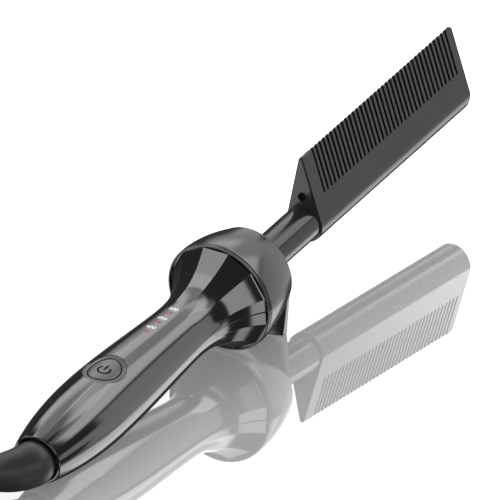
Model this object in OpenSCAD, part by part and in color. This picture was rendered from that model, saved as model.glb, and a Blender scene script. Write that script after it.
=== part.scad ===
// Electric hot comb: an egg-shaped handle that flares into a twelve-sided bell, a stand
// foot, a tubular neck and a heated comb blade, with a swivelling mains lead.
// The comb is drawn along +X with its axis on X, then tipped up onto its foot and belly.

/* [Handle] */
// Length of the handle from the bell's rim to its tail
handle_len = 128; // [100:0.5:170]
// Radius of the handle's tail end
tail_r = 10.3; // [9.8:0.1:13]
// Radius of the handle at its belly
belly_r = 15; // [13:0.1:20]
// Distance of the belly in front of the tail
belly_from_tail = 40; // [30:0.5:50]
// Radius of the grip at its waist
waist_r = 11.75; // [11:0.05:14]
// Distance of the waist behind the rim
waist_at = 22.4; // [18:0.1:27]
// Corner radius of the twelve-sided flare at the rim
flare_r = 22.1; // [20:0.1:26]
// Distance behind the rim at which the flare starts
flare_from = 32; // [24:0.5:38]
// Wall of the handle shells
shell_wall = 2.2; // [1.6:0.1:3]

/* [Bell] */
// Length of the bell in front of the rim
bell_len = 24.4; // [22:0.1:34]
// Largest radius of the bell
bell_r = 23; // [21:0.1:27]
// Radius of the bell's front edge
bell_front_r = 17.7; // [16.5:0.1:20]
// Wall of the bell covers
bell_wall = 2; // [1.6:0.1:3]
// Radial thickness of the lip round the flare
lip_wall = 0.8; // [0.5:0.05:1.2]
// Depth of the flare's seat in the bell
seat_depth = 1; // [0.5:0.1:2]

/* [Stand foot] */
// Half width of the foot where it leaves the bell
foot_root_half_w = 16.6; // [12:0.1:17]
// Half width of the foot at the table
foot_half_w = 13.9; // [9:0.1:18]
// Depth of the foot at its middle
foot_depth = 5.5; // [4:0.1:8]
// Depth of the bell's axis below which the foot's sides are straight
foot_root_drop = 5.8; // [3:0.1:10]
// Angle between the comb's axis and the table at rest
rest_tilt = 5; // [3:0.1:9]

/* [Neck] */
// Outside radius of the neck
neck_r = 7.35; // [6.6:0.05:7.6]
// Wall of the neck
neck_wall = 1.7; // [1.2:0.1:2]
// Length of the neck between the bell and the blade
neck_len = 37.8; // [25:0.1:60]

/* [Comb blade] */
// Length of the blade
blade_len = 107; // [80:0.5:140]
// Radius of the blade's round spine
spine_r = 7.95; // [7.7:0.05:9]
// Drop of the spine's centre below the comb's axis
spine_drop = 0.65; // [0:0.05:1]
// Height of the tooth tips above the comb's axis
comb_height = 28.9; // [24:0.1:40]
// Thickness of the tooth tips
tip_t = 1.3; // [0.8:0.05:2]
// Distance between neighbouring slots
slot_pitch = 2.666; // [2:0.001:4]
// Width of a slot
slot_w = 1; // [0.6:0.05:1.4]
// Depth of the slots from the tips
slot_depth = 18; // [10:0.1:18.5]
// Length of solid blade before the first slot and after the last
slot_margin = 5.4; // [4:0.1:10]
// Thickness of the cap on the blade's near end
cap_t = 1.5; // [1:0.1:2.5]
// Radius of the heater's bore in the spine
heater_bore_r = 5; // [4.6:0.05:5.4]

/* [Power button] */
// Distance of the button's centre in front of the tail
button_from_tail = 47.1; // [45.5:0.1:55]
// Half length of the button along the handle
button_half_len = 7.9; // [6:0.1:8.5]
// Half width of the button across the handle
button_half_w = 5.5; // [4.5:0.1:6]
// Width of the bezel round the button
bezel_w = 2; // [1.2:0.1:2.4]
// Travel of the button and the switch plunger
button_travel = 0.5; // [0.3:0.05:0.8]

/* [Indicators] */
// Distance of the front lamp behind the rim
lamp_first = 33.6; // [31:0.1:38]
// Distance between neighbouring lamps
lamp_pitch = 7.95; // [6:0.05:9]
// Number of temperature lamps
lamp_count = 3; // [1:1:3]
// Radius of a lamp's lens
lamp_r = 0.95; // [0.7:0.05:1.3]

/* [Circuit board] */
// Height of the board's top face above the axis
board_top = 2; // [1:0.1:3]
// Thickness of the board
board_t = 1.6; // [1:0.1:2]
// Half width of the board
board_half_w = 7.8; // [6.5:0.1:8.2]

/* [Cord swivel] */
// Radius of the ball at the root of the cord boot
ball_r = 8.6; // [8:0.05:8.8]
// Distance of the ball's centre behind the handle's tail
ball_back = 3.5; // [2:0.1:5]
// Radius of the swivel spool's shaft
spool_r = 5; // [4:0.05:5.4]
// Radius of the spool's retaining flange
spool_flange_r = 8; // [6.5:0.1:8.5]
// Radial running clearance of the spool in its bearings
running_gap = 0.05; // [0.02:0.01:0.09]

/* [Cord and plug] */
// Diameter of the mains lead
cord_d = 6; // [4:0.1:6]
// Width of the plug body
plug_w = 24; // [20:0.5:28]
// Thickness of the plug body
plug_t = 14; // [12:0.5:18]
// Length of the plug body
plug_len = 28; // [22:0.5:32]
// Length of the plug's blades
pin_len = 16; // [14:0.5:18]
// Distance between the middles of the plug's two blades
pin_pitch = 12.7; // [11:0.1:14]

/* [Hidden] */

eps = 0.01;
over = 1;                 // how far a cut runs past a face
seat_gap = 0.05;          // between pieces that are seated on each other
slide_gap = 0.15;         // round the button in its bezel
far = 400;                // longer than any cut needs
round_fn = 96;
small_fn = 32;

belly_at = handle_len - belly_from_tail;
button_at = handle_len - button_from_tail;

// Slopes of the handle's outline, in mm of radius for each mm of length
tail_slope = 0.25;
waist_slope = -0.03;
flare_power = 2.6;                     // the flare opens late, like a trumpet
bell_front_slope = -0.4;

flare_sides = 12;
flat_share = cos(180 / flare_sides);   // a flat's distance from the axis for a corner at 1
fade_from = 10;                        // the flats start to fade this far behind the rim
fade_to = 28;                          // and are gone here
fade_scale = 1.01 / flat_share;
facet_inset = 0.995;                   // keeps the flats' corners just inside the round

tail_wall = 3;
tail_gap = 0.4;
tail_hole_r = ball_r + tail_gap;
handle_step = 4;          // spacing of the outline's points
flare_step = 1.6;
facet_tail_r = belly_r * 1.4;   // keeps the flats clear of the belly

lip_r = bell_r - lip_wall;
lip_taper = 0.1;
bell_front_round = 0.9;
bell_front_skew = 1.2;    // the front round is this much wider than long
seat_flange_t = 2;
seat_flange_r = 13.5;
bell_edge_u = 1.3;
bell_step = 2.4;
plate_t = 1.6;
front_edge_wall = 2.3;
plate_r = bell_front_r - front_edge_wall;
cover_ledge_t = 1.5;
ledge_w = 1.1;
cover_ledge_r = plate_r - ledge_w;
neck_flange_t = 2;
neck_flange_r = cover_ledge_r + cover_ledge_t;
plate_skin = 0.4;         // left in front of the plate's blind holes
plate_inset = 0.4;
plate_front_u = bell_len - plate_inset;
plate_back_u = plate_front_u - plate_t;
ledge_back_u = plate_back_u - cover_ledge_t;
neck_back_u = ledge_back_u - neck_flange_t;
notch_angle = 113;
notch_w = 2.6;
notch_h = 1;
notch_back = 3.4;
notch_depth = 1.2;

blade_u = bell_len + neck_len;
blade_end_u = blade_u + blade_len;
cap_u = blade_u - cap_t;
slot_bias = 0.9;          // the row of slots sits this much nearer the far end
slot_count = floor((blade_len - 2 * slot_margin) / slot_pitch) + 1;
first_slot_u = blade_u + (blade_len - (slot_count - 1) * slot_pitch) / 2 + slot_bias;
slot_bottom_w = comb_height - slot_depth;
cap_screw_w = 11.6;
cap_screw_r = 1.1;
cap_screw_len = 5;
cap_screw_head_r = 1.75;
cap_screw_head_t = 0.7;
cap_screw_socket_r = 0.8;
cap_inset = 0.35;         // of the cap's edge from the blade's

heater_u = blade_u + 8;
heater_len = 70;
heater_w = 7;
heater_t = 2.2;
clamp_inset = 1;
sensor_u = heater_u + 3;
fuse_gap = 6;
fuse_u = bell_len + fuse_gap;
fuse_len = 11;
fuse_r = 1.6;
bore_end_u = heater_u + heater_len + 3;
insulator_wall = 1.4;
insulator_back = 12;
insulator_front = 7.5;
neck_bore_r = neck_r - neck_wall;

axial_gap = 0.2;
spool_out = 1;
spool_back_u = -handle_len - spool_out;
ball_cut_u = -handle_len + 2.7;
rib_t = 2;
rear_rib_u = -handle_len + 4.6;
spool_flange_t = 5;
front_rib_u = rear_rib_u + rib_t + spool_flange_t + 2 * axial_gap;
spool_shaft_end_u = front_rib_u + rib_t + 0.5;
core_r = 3;
ring_r = 4.2;
ring_w = 2.4;
ring_gap = 1.6;
holder_gap = 0.4;
first_ring_u = spool_shaft_end_u + 0.6;
core_end_u = spool_shaft_end_u + 2 * (ring_w + ring_gap) + holder_gap;

screw_r = 1.25;
screw_head_r = 2.4;
screw_head_t = 1.6;
post_r = 3.8;
post_hole_top = 7;
post_gap = 4.3;           // between the swivel's end and the rear screw post
tail_post_u = core_end_u + post_gap + post_r;
front_post_u = -23.5;
recess_depth = 4;
bell_boss_radius = 15.6;
bell_boss_r = 2.5;
bell_boss_len = 9;
bell_screw_len = 5;
flange_head_r = 2.1;
neck_screw_radius = 11;
board_screw_r = 0.9;
board_screw_head_r = 1.7;
board_screw_head_t = 1.2;
board_screw_len = 4;
drive_w = 0.6;            // of the cross in a screw's head
head_clear = 0.2;
thread_end = 0.5;         // how far a screw stops short of the end of its hole

button_u = -button_at;
board_back_u = tail_post_u + post_r + 1.2;
board_front_u = -30;
terminal_u = board_front_u + 1.4;
terminal_len = 2.4;
terminal_half_v = 6.2;
terminal_drop = 1.4;
relay_at = [button_u + 3.8, -6.5];
relay_size = [12, 7, 6];
capacitor_at = [button_u + 12.2, 4.2];
capacitor_r = 2.6;
capacitor_h = 7;
fuse_tube_v = 4;
fuse_tube_u = button_u + 17;
fuse_tube_len = 9;
board_bottom = board_top - board_t;
board_post_r = 2.1;
board_post_u = [board_back_u + 4, board_front_u - 4];
board_post_v = 5.2;
switch_size = 6;
switch_h = 3.5;
plunger_r = 1.75;
plunger_top = board_top + switch_h + 1.5;
button_top_drop = 0.5;
button_flange_t = 1;
button_flange_extra = 0.9;
button_stem_r = 2;
button_flange_top = handle_r(button_at) - 4.4;
bezel_bottom = button_flange_top + 0.1;
bezel_drop = 0.15;
ellipse_points = 48;
led_r = 1.5;
led_top = 6.5;

brush_t = 1.6;
brush_half_v = 1.8;
holder_top = -ring_r - 2.4;
holder_t = 2;
holder_half_v = 6;
holder_u = spool_shaft_end_u + holder_gap;

// Wires: straight in the neck, then spread to pass the front screw post
lead_r = 0.9;
lead_v = 1.7;
lead_w = -1.4;
lead_out_v = 4.9;
lead_turn_u = -8;
lead_spread_u = -18.5;
sensor_r = 1;
sensor_len = 8;
sensor_w = 2.9;
sensor_lead_r = 0.45;
sensor_lead_v = 0.5;
sensor_out_v = 4.5;
supply_v = post_r + lead_r + 0.3;
supply_rise = 5;

// Places of the comb on the table: its belly and its foot both touch z = 0
contact_heights = [for (d = [waist_at:1:handle_len]) handle_r(d) * cos(rest_tilt) + d * sin(rest_tilt)];
axis_h = max(max(contact_heights), (bell_r + 0.05) * cos(rest_tilt));
foot_wall = 1.2;
foot_edge_t = 1.6;        // of the foot's straight sides
foot_rise = foot_depth - foot_edge_t;
foot_back_r = (pow(foot_root_half_w, 2) + pow(foot_rise, 2)) / (2 * foot_rise);
foot_u = bell_len - foot_depth / 2;
foot_w = -(axis_h + foot_u * sin(rest_tilt)) / cos(rest_tilt);
origin_x = foot_u * cos(rest_tilt) - foot_w * sin(rest_tilt);

tail_x = -handle_len * cos(rest_tilt) - origin_x;
tail_z = axis_h - handle_len * sin(rest_tilt);

// The boot's points: [distance behind the tail, offset to the side, share of the drop
// from the tail to the table that is left, radius]
cord_z = 4;
boot_points = [
    [3.5, 0, 0.965, 7.6], [7.7, 2.5, 0.87, 8.1], [11.0, 5.6, 0.8, 7.5],
    [13.6, 9.2, 0.74, 6.9], [16.6, 14.3, 0.65, 6.3], [20.2, 20.2, 0.52, 5.7],
    [25.6, 25.9, 0.35, 5.0], [32.3, 30.2, 0.17, 4.4], [39.9, 32.6, 0, 3.8]
];
boot_route = [for (p = boot_points) [tail_x - p[0], p[1], cord_z + p[2] * (tail_z - cord_z)]];

// The lead's points, from the handle's tail along X, on the table
lead_route = behind_tail([[-39.9, 32.6, 4.0], [-51.5, 33, 3.1], [-63.5, 33, 3.02], [-75, 33, 3.02]]);
end_route = behind_tail([
    [-75, 21, 15], [-82.4, 21.1, 15.6], [-90.4, 21.7, 17.6], [-98.4, 22.8, 20.6],
    [-106.4, 24.1, 23.3], [-113.4, 24.9, 24.8], [-118.4, 25, 25]
]);
hank_x0 = tail_x - 75;    // centre of the hank's near end
hank_run = 66;            // straight length between its round ends
hank_y = 3;
hank_inner_r = 15;
hank_lanes = 3;
hank_layers = 3;
lane_w = 6;
hank_outer_r = hank_inner_r + hank_lanes * lane_w;
hank_h = hank_layers * lane_w;
tie_t = 0.8;
tie_w = 12;
tie_gap = 0.1;
tie_x = hank_x0 - hank_run / 2;
plug_x = tail_x - 118.4;
plug_y = 25;
plug_z = 25;
plug_relief_len = 14;
plug_corner = 4;
relief_wall = 0.8;
relief_step = 1.5;
pin_hole_at = 3.2;
pin_w = 6.35;
pin_t = 1.5;
pin_hole_r = 1.6;
pin_root = 8;
cord_sides = 10;
wire_sides = 8;
boot_sides = 24;

// A cubic from p0 to p1 over a length, with the slopes s0 and s1 at its ends
function hermite(p0, p1, s0, s1, len, t) =
    p0 * (1 + 2 * t) * pow(1 - t, 2) + p1 * pow(t, 2) * (3 - 2 * t)
    + len * (s0 * t * pow(1 - t, 2) - s1 * pow(t, 2) * (1 - t));
function smooth(t) = let (c = max(0, min(1, t))) c * c * (3 - 2 * c);
function between(a, b, step) = let (n = ceil(abs(b - a) / step)) [for (i = [0:n]) a + (b - a) * i / n];

// Radius of the handle's grip without its flare, d behind the rim
function grip_r(d) =
    d >= belly_at ? hermite(tail_r, belly_r, tail_slope, 0, handle_len - belly_at,
                            (handle_len - d) / (handle_len - belly_at))
    : d >= waist_at ? hermite(belly_r, waist_r, 0, waist_slope, belly_at - waist_at,
                              (belly_at - d) / (belly_at - waist_at))
    : waist_r + waist_slope * (waist_at - d);
// Radius of the handle's round outline, and of the flare's corners, d behind the rim
function handle_r(d) =
    grip_r(d) + (flare_r - grip_r(0)) * pow(max(0, 1 - d / flare_from), flare_power);
function flare_corner_r(d) =
    handle_r(d)
    * (facet_inset + (fade_scale - facet_inset) * smooth((d - fade_from) / (fade_to - fade_from)));
function handle_inner_r(d) = handle_r(d) * (d < fade_to ? flat_share : 1) - shell_wall;
function bell_outer_r(u) =
    u < bell_edge_u ? bell_r - lip_taper * (1 - u / bell_edge_u)
    : hermite(bell_r, bell_front_r, 0, bell_front_slope, bell_len - bell_edge_u,
              (u - bell_edge_u) / (bell_len - bell_edge_u));

// Turns a half outline of [radius, distance along X] points about the X axis
module lathe(outline, fn = round_fn) {
    rotate([0, 90, 0])
        rotate_extrude($fn = fn)
            polygon(outline);
}

// A cylinder along X from u0 to u1
module bar_x(u0, u1, r, fn = round_fn) {
    translate([u0, 0, 0])
        rotate([0, 90, 0])
            cylinder(h = u1 - u0, r = r, $fn = fn);
}

module pipe_x(u0, u1, outer, inner) {
    difference() {
        bar_x(u0, u1, outer);
        bar_x(u0 - over, u1 + over, inner);
    }
}

// A box between two corners
module block(low, high) {
    translate(low)
        cube(high - low);
}

// Tips the comb up from its own axis onto the table
module on_table() {
    translate([-origin_x, 0, axis_h])
        rotate([0, -rest_tilt, 0])
            children();
}

module upper_half() {
    intersection() {
        children();
        block([-far, -far, 0], [far, far, far]);
    }
}

module lower_half() {
    intersection() {
        children();
        block([-far, -far, -far], [far, far, 0]);
    }
}

// The four screw places round the bell, between the seams
module round_the_bell(radius) {
    for (angle = [45:90:315])
        rotate([angle, 0, 0])
            translate([0, radius, 0])
                children();
}

// A tube swept along a route, with a radius at each point
function behind_tail(points) = [for (p = points) [tail_x + p[0], p[1], p[2]]];
function unit(v) = v / norm(v);
function route_dir(p, i) = unit(p[min(i + 1, len(p) - 1)] - p[max(i - 1, 0)]);
function ring_at(p, r, i, sides) =
    let (along = route_dir(p, i), side = unit(cross([0, 0, 1], along)), top = cross(along, side))
    [for (k = [0:sides - 1]) let (a = 360 * (k + 0.5) / sides + 18)
        p[i] + r * (cos(a) * side + sin(a) * top)];

module swept_tube(p, radii, sides) {
    rings = [for (i = [0:len(p) - 1]) each ring_at(p, radii[i], i, sides)];
    last = (len(p) - 1) * sides;
    skin = [
        for (i = [0:len(p) - 2], k = [0:sides - 1])
            let (a = i * sides + k, b = i * sides + (k + 1) % sides)
            each [[a, a + sides, b + sides], [a, b + sides, b]]
    ];
    polyhedron(
        points = rings,
        faces = concat(
            skin,
            [[for (k = [0:sides - 1]) k]],
            [[for (k = [sides - 1:-1:0]) last + k]]
        ),
        convexity = 6
    );
}

// Twelve flats that run the length of the handle and only bite where the flare begins
module flare_facets() {
    rear = -handle_len - over;
    stations = concat([rear], between(-fade_to, 0, flare_step), [seat_depth]);
    corner = [
        for (u = stations)
            u == rear ? facet_tail_r : flare_corner_r(max(0, -u))
    ];
    n = flare_sides;
    last = (len(stations) - 1) * n;
    polyhedron(
        points = [
            for (i = [0:len(stations) - 1], k = [0:n - 1])
                let (a = 360 * (k + 0.5) / n)
                [stations[i], corner[i] * cos(a), corner[i] * sin(a)]
        ],
        faces = concat(
            [
                for (i = [0:len(stations) - 2], k = [0:n - 1])
                    let (a = i * n + k, b = i * n + (k + 1) % n)
                    [a, a + n, b + n, b]
            ],
            [[for (k = [0:n - 1]) k]],
            [[for (k = [n - 1:-1:0]) last + k]]
        ),
        convexity = 4
    );
}

module handle_outside() {
    round_stations = concat(
        between(-handle_len, -fade_to, handle_step),
        [for (u = between(-fade_to, 0, flare_step)) if (u > -fade_to) u]
    );
    intersection() {
        lathe(concat(
            [[0, -handle_len]],
            [for (u = round_stations) [handle_r(-u), u]],
            [[handle_r(0), seat_depth], [0, seat_depth]]
        ));
        flare_facets();
    }
}

module handle_hollow() {
    inner_tail = -handle_len + tail_wall;
    lathe(concat(
        [[0, inner_tail]],
        [for (u = between(inner_tail, -fade_to, handle_step)) [handle_inner_r(-u), u]],
        [for (u = between(-fade_to + flare_step, 0, flare_step)) [handle_inner_r(-u), u]],
        [[handle_inner_r(0), seat_depth + over], [0, seat_depth + over]]
    ));
}

// What stands inside the two shells: swivel bearings, screw posts and seats
module handle_ribs() {
    for (u = [rear_rib_u, front_rib_u])
        bar_x(u, u + rib_t, far / 8, small_fn);
    for (u = [tail_post_u, front_post_u])
        translate([u, 0, -far / 8])
            cylinder(h = far / 4, r = post_r, $fn = small_fn);
    round_the_bell(bell_boss_radius)
        bar_x(-bell_boss_len, seat_depth, bell_boss_r, small_fn);
}

module handle_body() {
    difference() {
        handle_outside();
        difference() {
            handle_hollow();
            handle_ribs();
        }
        bar_x(-far, -handle_len + tail_wall + over, tail_hole_r);
        bar_x(-handle_len, spool_shaft_end_u, spool_r + running_gap);
        round_the_bell(bell_boss_radius)
            bar_x(-bell_screw_len, far, screw_r + seat_gap, small_fn);
    }
}

function ellipse(a, b) =
    [for (i = [0:ellipse_points - 1]) let (t = 360 * i / ellipse_points) [a * cos(t), b * sin(t)]];

// An upright oval column at the button, grown by a margin
module button_column(margin, bottom, top) {
    translate([button_u, 0, bottom])
        linear_extrude(top - bottom)
            polygon(ellipse(button_half_len + margin, button_half_w + margin));
}

module at_lamps() {
    for (i = [0:lamp_count - 1])
        translate([-lamp_first - i * lamp_pitch, 0, 0])
            children();
}

module handle_upper_shell() {
    color("#1b1b1d")
        on_table()
            difference() {
                upper_half()
                    handle_body();
                button_column(bezel_w + seat_gap, 0, far);
                at_lamps()
                    cylinder(h = far, r = lamp_r + seat_gap, $fn = small_fn);
                for (u = [tail_post_u, front_post_u])
                    translate([u, 0, 0])
                        cylinder(h = post_hole_top, r = screw_r + seat_gap, $fn = small_fn);
            }
}

module board_posts() {
    for (u = board_post_u, v = [-board_post_v, board_post_v])
        translate([u, v, 0])
            children();
}

module handle_lower_shell() {
    color("#1b1b1d")
        on_table()
            difference() {
                union() {
                    lower_half()
                        handle_body();
                    intersection() {
                        handle_outside();
                        union() {
                            board_posts()
                                translate([0, 0, -far / 8])
                                    cylinder(h = far / 8 + board_bottom, r = board_post_r, $fn = small_fn);
                            block(
                                [holder_u, -holder_half_v, -far / 8],
                                [core_end_u, holder_half_v, holder_top - holder_t]
                            );
                        }
                    }
                }
                for (u = [tail_post_u, front_post_u])
                    translate([u, 0, 0]) {
                        translate([0, 0, -far / 2])
                            cylinder(h = far, r = screw_r + seat_gap, $fn = small_fn);
                        translate([0, 0, -far / 2])
                            cylinder(
                                h = far / 2 - screw_seat(u), r = screw_head_r + head_clear, $fn = small_fn
                            );
                    }
                board_posts()
                    translate([0, 0, -board_screw_len])
                        cylinder(h = far, r = board_screw_r + seat_gap, $fn = small_fn);
            }
}

// Depth below the axis of the seat of a shell screw's head
function screw_seat(u) = handle_r(-u) - recess_depth;

module bell_hollow() {
    stations = between(seat_depth + seat_flange_t, ledge_back_u - bell_step, bell_step);
    lathe(concat(
        [[0, seat_depth + seat_flange_t]],
        [for (u = stations) [bell_outer_r(u) - bell_wall, u]],
        [
            [bell_outer_r(ledge_back_u) - bell_wall, ledge_back_u],
            [cover_ledge_r, ledge_back_u], [cover_ledge_r, plate_back_u],
            [plate_r + seat_gap, plate_back_u], [plate_r + seat_gap, bell_len + over],
            [0, bell_len + over]
        ]
    ));
}

// Both bell covers as one shell: lip, seat for the flare, convex wall and front ledge
module bell_body() {
    difference() {
        lathe(concat(
            [[0, 0], [bell_outer_r(0), 0]],
            [for (u = between(bell_edge_u, bell_len - bell_front_round, bell_step)) [bell_outer_r(u), u]],
            [
                for (a = [20:20:80])
                    [
                        bell_outer_r(bell_len - bell_front_round)
                        - bell_front_round * bell_front_skew * (1 - cos(a)),
                        bell_len - bell_front_round * (1 - sin(a))
                    ]
            ],
            [[0, bell_len - bell_front_round * (1 - sin(80))]]
        ));
        bell_hollow();
        bar_x(-over, seat_depth, lip_r);
        bar_x(-over, seat_depth + seat_flange_t + over, seat_flange_r);
        round_the_bell(bell_boss_radius)
            bar_x(-over, far, screw_r + seat_gap, small_fn);
        rotate([notch_angle - 90, 0, 0])
            block(
                [bell_len - notch_back, -notch_w / 2, bell_front_r - notch_depth],
                [bell_len - notch_back + notch_h, notch_w / 2, far]
            );
    }
}

module bell_cover_upper() {
    color("#1b1b1d")
        on_table()
            upper_half()
                bell_body();
}

// The foot: a tongue under the bell, flat in front and rounded behind
module foot() {
    difference() {
        intersection() {
            rotate([90, 0, 90])
                linear_extrude(bell_len)
                    polygon([
                        [-foot_root_half_w, -foot_root_drop], [foot_root_half_w, -foot_root_drop],
                        [foot_half_w, foot_w - over], [-foot_half_w, foot_w - over]
                    ]);
            translate([bell_len - foot_depth + foot_back_r, 0, foot_w - 2 * over])
                cylinder(h = -foot_w, r = foot_back_r, $fn = 2 * round_fn);
        }
        bar_x(-over, plate_back_u, bell_front_r - foot_wall);
        bar_x(plate_back_u - over, bell_len + over, plate_r + seat_gap);
    }
}

module bell_cover_lower() {
    color("#1b1b1d")
        intersection() {
            on_table()
                union() {
                    lower_half()
                        bell_body();
                    foot();
                }
            block([-far, -far, 0], [far, far, far]);
        }
}

module bell_front_plate() {
    color("#1b1b1d")
        on_table()
            difference() {
                bar_x(plate_back_u, plate_front_u, plate_r);
                bar_x(plate_back_u - over, plate_front_u + over, neck_r + seat_gap);
                round_the_bell(neck_screw_radius)
                    bar_x(plate_back_u - over, plate_front_u - plate_skin, screw_r + seat_gap, small_fn);
            }
}

module neck_tube() {
    color("#202022")
        on_table()
            difference() {
                union() {
                    bar_x(neck_back_u, cap_u, neck_r);
                    bar_x(neck_back_u, ledge_back_u, neck_flange_r);
                    bar_x(ledge_back_u, plate_back_u, cover_ledge_r - seat_gap);
                }
                bar_x(neck_back_u - over, cap_u + over, neck_bore_r);
                round_the_bell(neck_screw_radius)
                    bar_x(neck_back_u - over, plate_back_u + over, screw_r + seat_gap, small_fn);
            }
}

// The blade's section: a round spine and two flats that lean in to the tips
module teardrop(shrink = 0) {
    half_tip = tip_t / 2 - shrink * 0.4;
    top = comb_height - shrink;
    reach = norm([half_tip, top + spine_drop]);
    radius = spine_r - shrink;
    lean = atan2(top + spine_drop, half_tip) - acos(radius / reach);
    side = [radius * cos(lean), radius * sin(lean) - spine_drop];
    translate([0, -spine_drop])
        circle(r = radius, $fn = round_fn);
    polygon([side, [half_tip, top], [-half_tip, top], [-side[0], side[1]]]);
}

module teardrop_bar(u0, u1, shrink = 0) {
    translate([u0, 0, 0])
        rotate([90, 0, 90])
            linear_extrude(u1 - u0)
                teardrop(shrink);
}

module comb_blade() {
    color("#4a4a4c")
        on_table()
            difference() {
                teardrop_bar(blade_u, blade_end_u);
                bar_x(blade_u - over, bore_end_u, heater_bore_r);
                for (i = [0:slot_count - 1])
                    translate([first_slot_u + i * slot_pitch - slot_w / 2, -far / 8, slot_bottom_w])
                        cube([slot_w, far / 4, far / 8]);
                translate([0, 0, cap_screw_w])
                    bar_x(blade_u - over, blade_u + cap_screw_len, cap_screw_r, small_fn);
            }
}

module blade_end_cap() {
    color("#2a2a2c")
        on_table()
            difference() {
                teardrop_bar(cap_u, blade_u, cap_inset);
                bar_x(cap_u - over, blade_u + over, heater_bore_r);
                translate([0, 0, cap_screw_w])
                    bar_x(cap_u - over, blade_u + over, cap_screw_r + seat_gap, small_fn);
            }
}

module end_cap_screw() {
    color("#0c0c0c")
        on_table()
            translate([0, 0, cap_screw_w])
                difference() {
                    union() {
                        bar_x(cap_u, blade_u + cap_screw_len - thread_end, cap_screw_r - seat_gap, small_fn);
                        bar_x(cap_u - cap_screw_head_t, cap_u, cap_screw_head_r, small_fn);
                    }
                    bar_x(cap_u - over, cap_u - cap_screw_head_t / 2, cap_screw_socket_r, 6);
                }
}

module ceramic_insulator() {
    color("#e6e2d6")
        on_table()
            difference() {
                union() {
                    bar_x(cap_u - insulator_back, cap_u, neck_bore_r - seat_gap);
                    bar_x(cap_u, blade_u + insulator_front, heater_bore_r - seat_gap);
                }
                bar_x(cap_u - insulator_back - over, blade_u + insulator_front + over,
                      heater_bore_r - insulator_wall);
            }
}

module heater_element() {
    color("#c9c4b4")
        on_table()
            block(
                [heater_u, -heater_w / 2, -heater_t / 2],
                [heater_u + heater_len, heater_w / 2, heater_t / 2]
            );
}

// Half-round aluminium wedges that press the heater against the bore
module heater_clamp() {
    intersection() {
        bar_x(heater_u + clamp_inset, heater_u + heater_len - clamp_inset, heater_bore_r - seat_gap);
        block([heater_u, -far, heater_t / 2], [heater_u + heater_len, far, far]);
    }
}

module heater_clamp_upper() {
    color("#b9bcc0")
        on_table()
            difference() {
                heater_clamp();
                translate([0, 0, sensor_w])
                    bar_x(heater_u, sensor_u + sensor_len + thread_end, sensor_r + seat_gap, small_fn);
            }
}

module heater_clamp_lower() {
    color("#b9bcc0")
        on_table()
            mirror([0, 0, 1])
                heater_clamp();
}

// Two wires of radius r, straight through the neck, that spread past the screw post
module spread_wires(v, out_v, w, r, end_u) {
    for (s = [-1, 1])
        swept_tube(
            [
                [end_u, s * v, w], [lead_turn_u, s * v, w],
                [lead_spread_u, s * out_v, w], [terminal_u, s * out_v, w]
            ],
            [r, r, r, r],
            wire_sides
        );
}

module thermistor() {
    color("#d8b25a")
        on_table() {
            translate([0, 0, sensor_w])
                bar_x(sensor_u, sensor_u + sensor_len, sensor_r, small_fn);
            spread_wires(sensor_lead_v, sensor_out_v, sensor_w, sensor_lead_r, sensor_u);
        }
}

module thermal_fuse() {
    color("#d7d7da")
        on_table()
            translate([0, lead_v, lead_w])
                pipe_x(fuse_u, fuse_u + fuse_len, fuse_r, lead_r + seat_gap);
}

module heater_leads() {
    color("#efece0")
        on_table()
            spread_wires(lead_v, lead_out_v, lead_w, lead_r, heater_u);
}

module circuit_board() {
    color("#1d6b3a")
        on_table()
            difference() {
                block(
                    [board_back_u, -board_half_w, board_bottom],
                    [board_front_u, board_half_w, board_top]
                );
                board_posts()
                    cylinder(h = far, r = board_screw_r + seat_gap, $fn = small_fn);
            }
}

// Power parts on the board: relay, capacitor, fuse and the lead terminal
module board_components() {
    color("#2d2f36")
        on_table() {
            translate([relay_at[0], relay_at[1], board_top])
                cube(relay_size);
            translate([capacitor_at[0], capacitor_at[1], board_top])
                cylinder(h = capacitor_h, r = capacitor_r, $fn = small_fn);
            translate([0, fuse_tube_v, board_top + fuse_r])
                bar_x(fuse_tube_u, fuse_tube_u + fuse_tube_len, fuse_r, small_fn);
            block(
                [terminal_u - terminal_len, -terminal_half_v, lead_w - terminal_drop],
                [terminal_u, terminal_half_v, board_bottom]
            );
            block(
                [terminal_u - terminal_len, -terminal_half_v, board_top],
                [board_front_u, terminal_half_v, sensor_w + terminal_drop]
            );
        }
}

module switch_body() {
    color("#16161a")
        on_table()
            difference() {
                block(
                    [button_u - switch_size / 2, -switch_size / 2, board_top],
                    [button_u + switch_size / 2, switch_size / 2, board_top + switch_h]
                );
                translate([button_u, 0, plunger_top - 3.5 - button_travel - 0.3])
                    cylinder(h = far, r = plunger_r + running_gap, $fn = small_fn);
            }
}

module switch_plunger() {
    color("#d9d9d9")
        on_table()
            translate([button_u, 0, plunger_top - 3.5])
                cylinder(h = 3.5, r = plunger_r, $fn = small_fn);
}

// The handle's round outline, lowered by a depth, as a solid to cut the button's top
module lowered_handle(depth) {
    lathe(concat(
        [[0, -handle_len]],
        [for (u = between(-handle_len, -waist_at, handle_step)) [handle_r(-u) - depth, u]],
        [[0, -waist_at]]
    ));
}

module power_button() {
    color("#262629")
        on_table() {
            intersection() {
                button_column(-slide_gap, button_flange_top - eps, far);
                lowered_handle(button_top_drop);
            }
            button_column(button_flange_extra, button_flange_top - button_flange_t, button_flange_top);
            translate([button_u, 0, plunger_top + seat_gap])
                cylinder(
                    h = button_flange_top - button_flange_t - plunger_top - seat_gap + eps,
                    r = button_stem_r, $fn = small_fn
                );
        }
}

module button_bezel() {
    color("#1f1f22")
        on_table()
            difference() {
                intersection() {
                    button_column(bezel_w, bezel_bottom, far);
                    lowered_handle(bezel_drop);
                }
                button_column(0, 0, far);
            }
}

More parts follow.
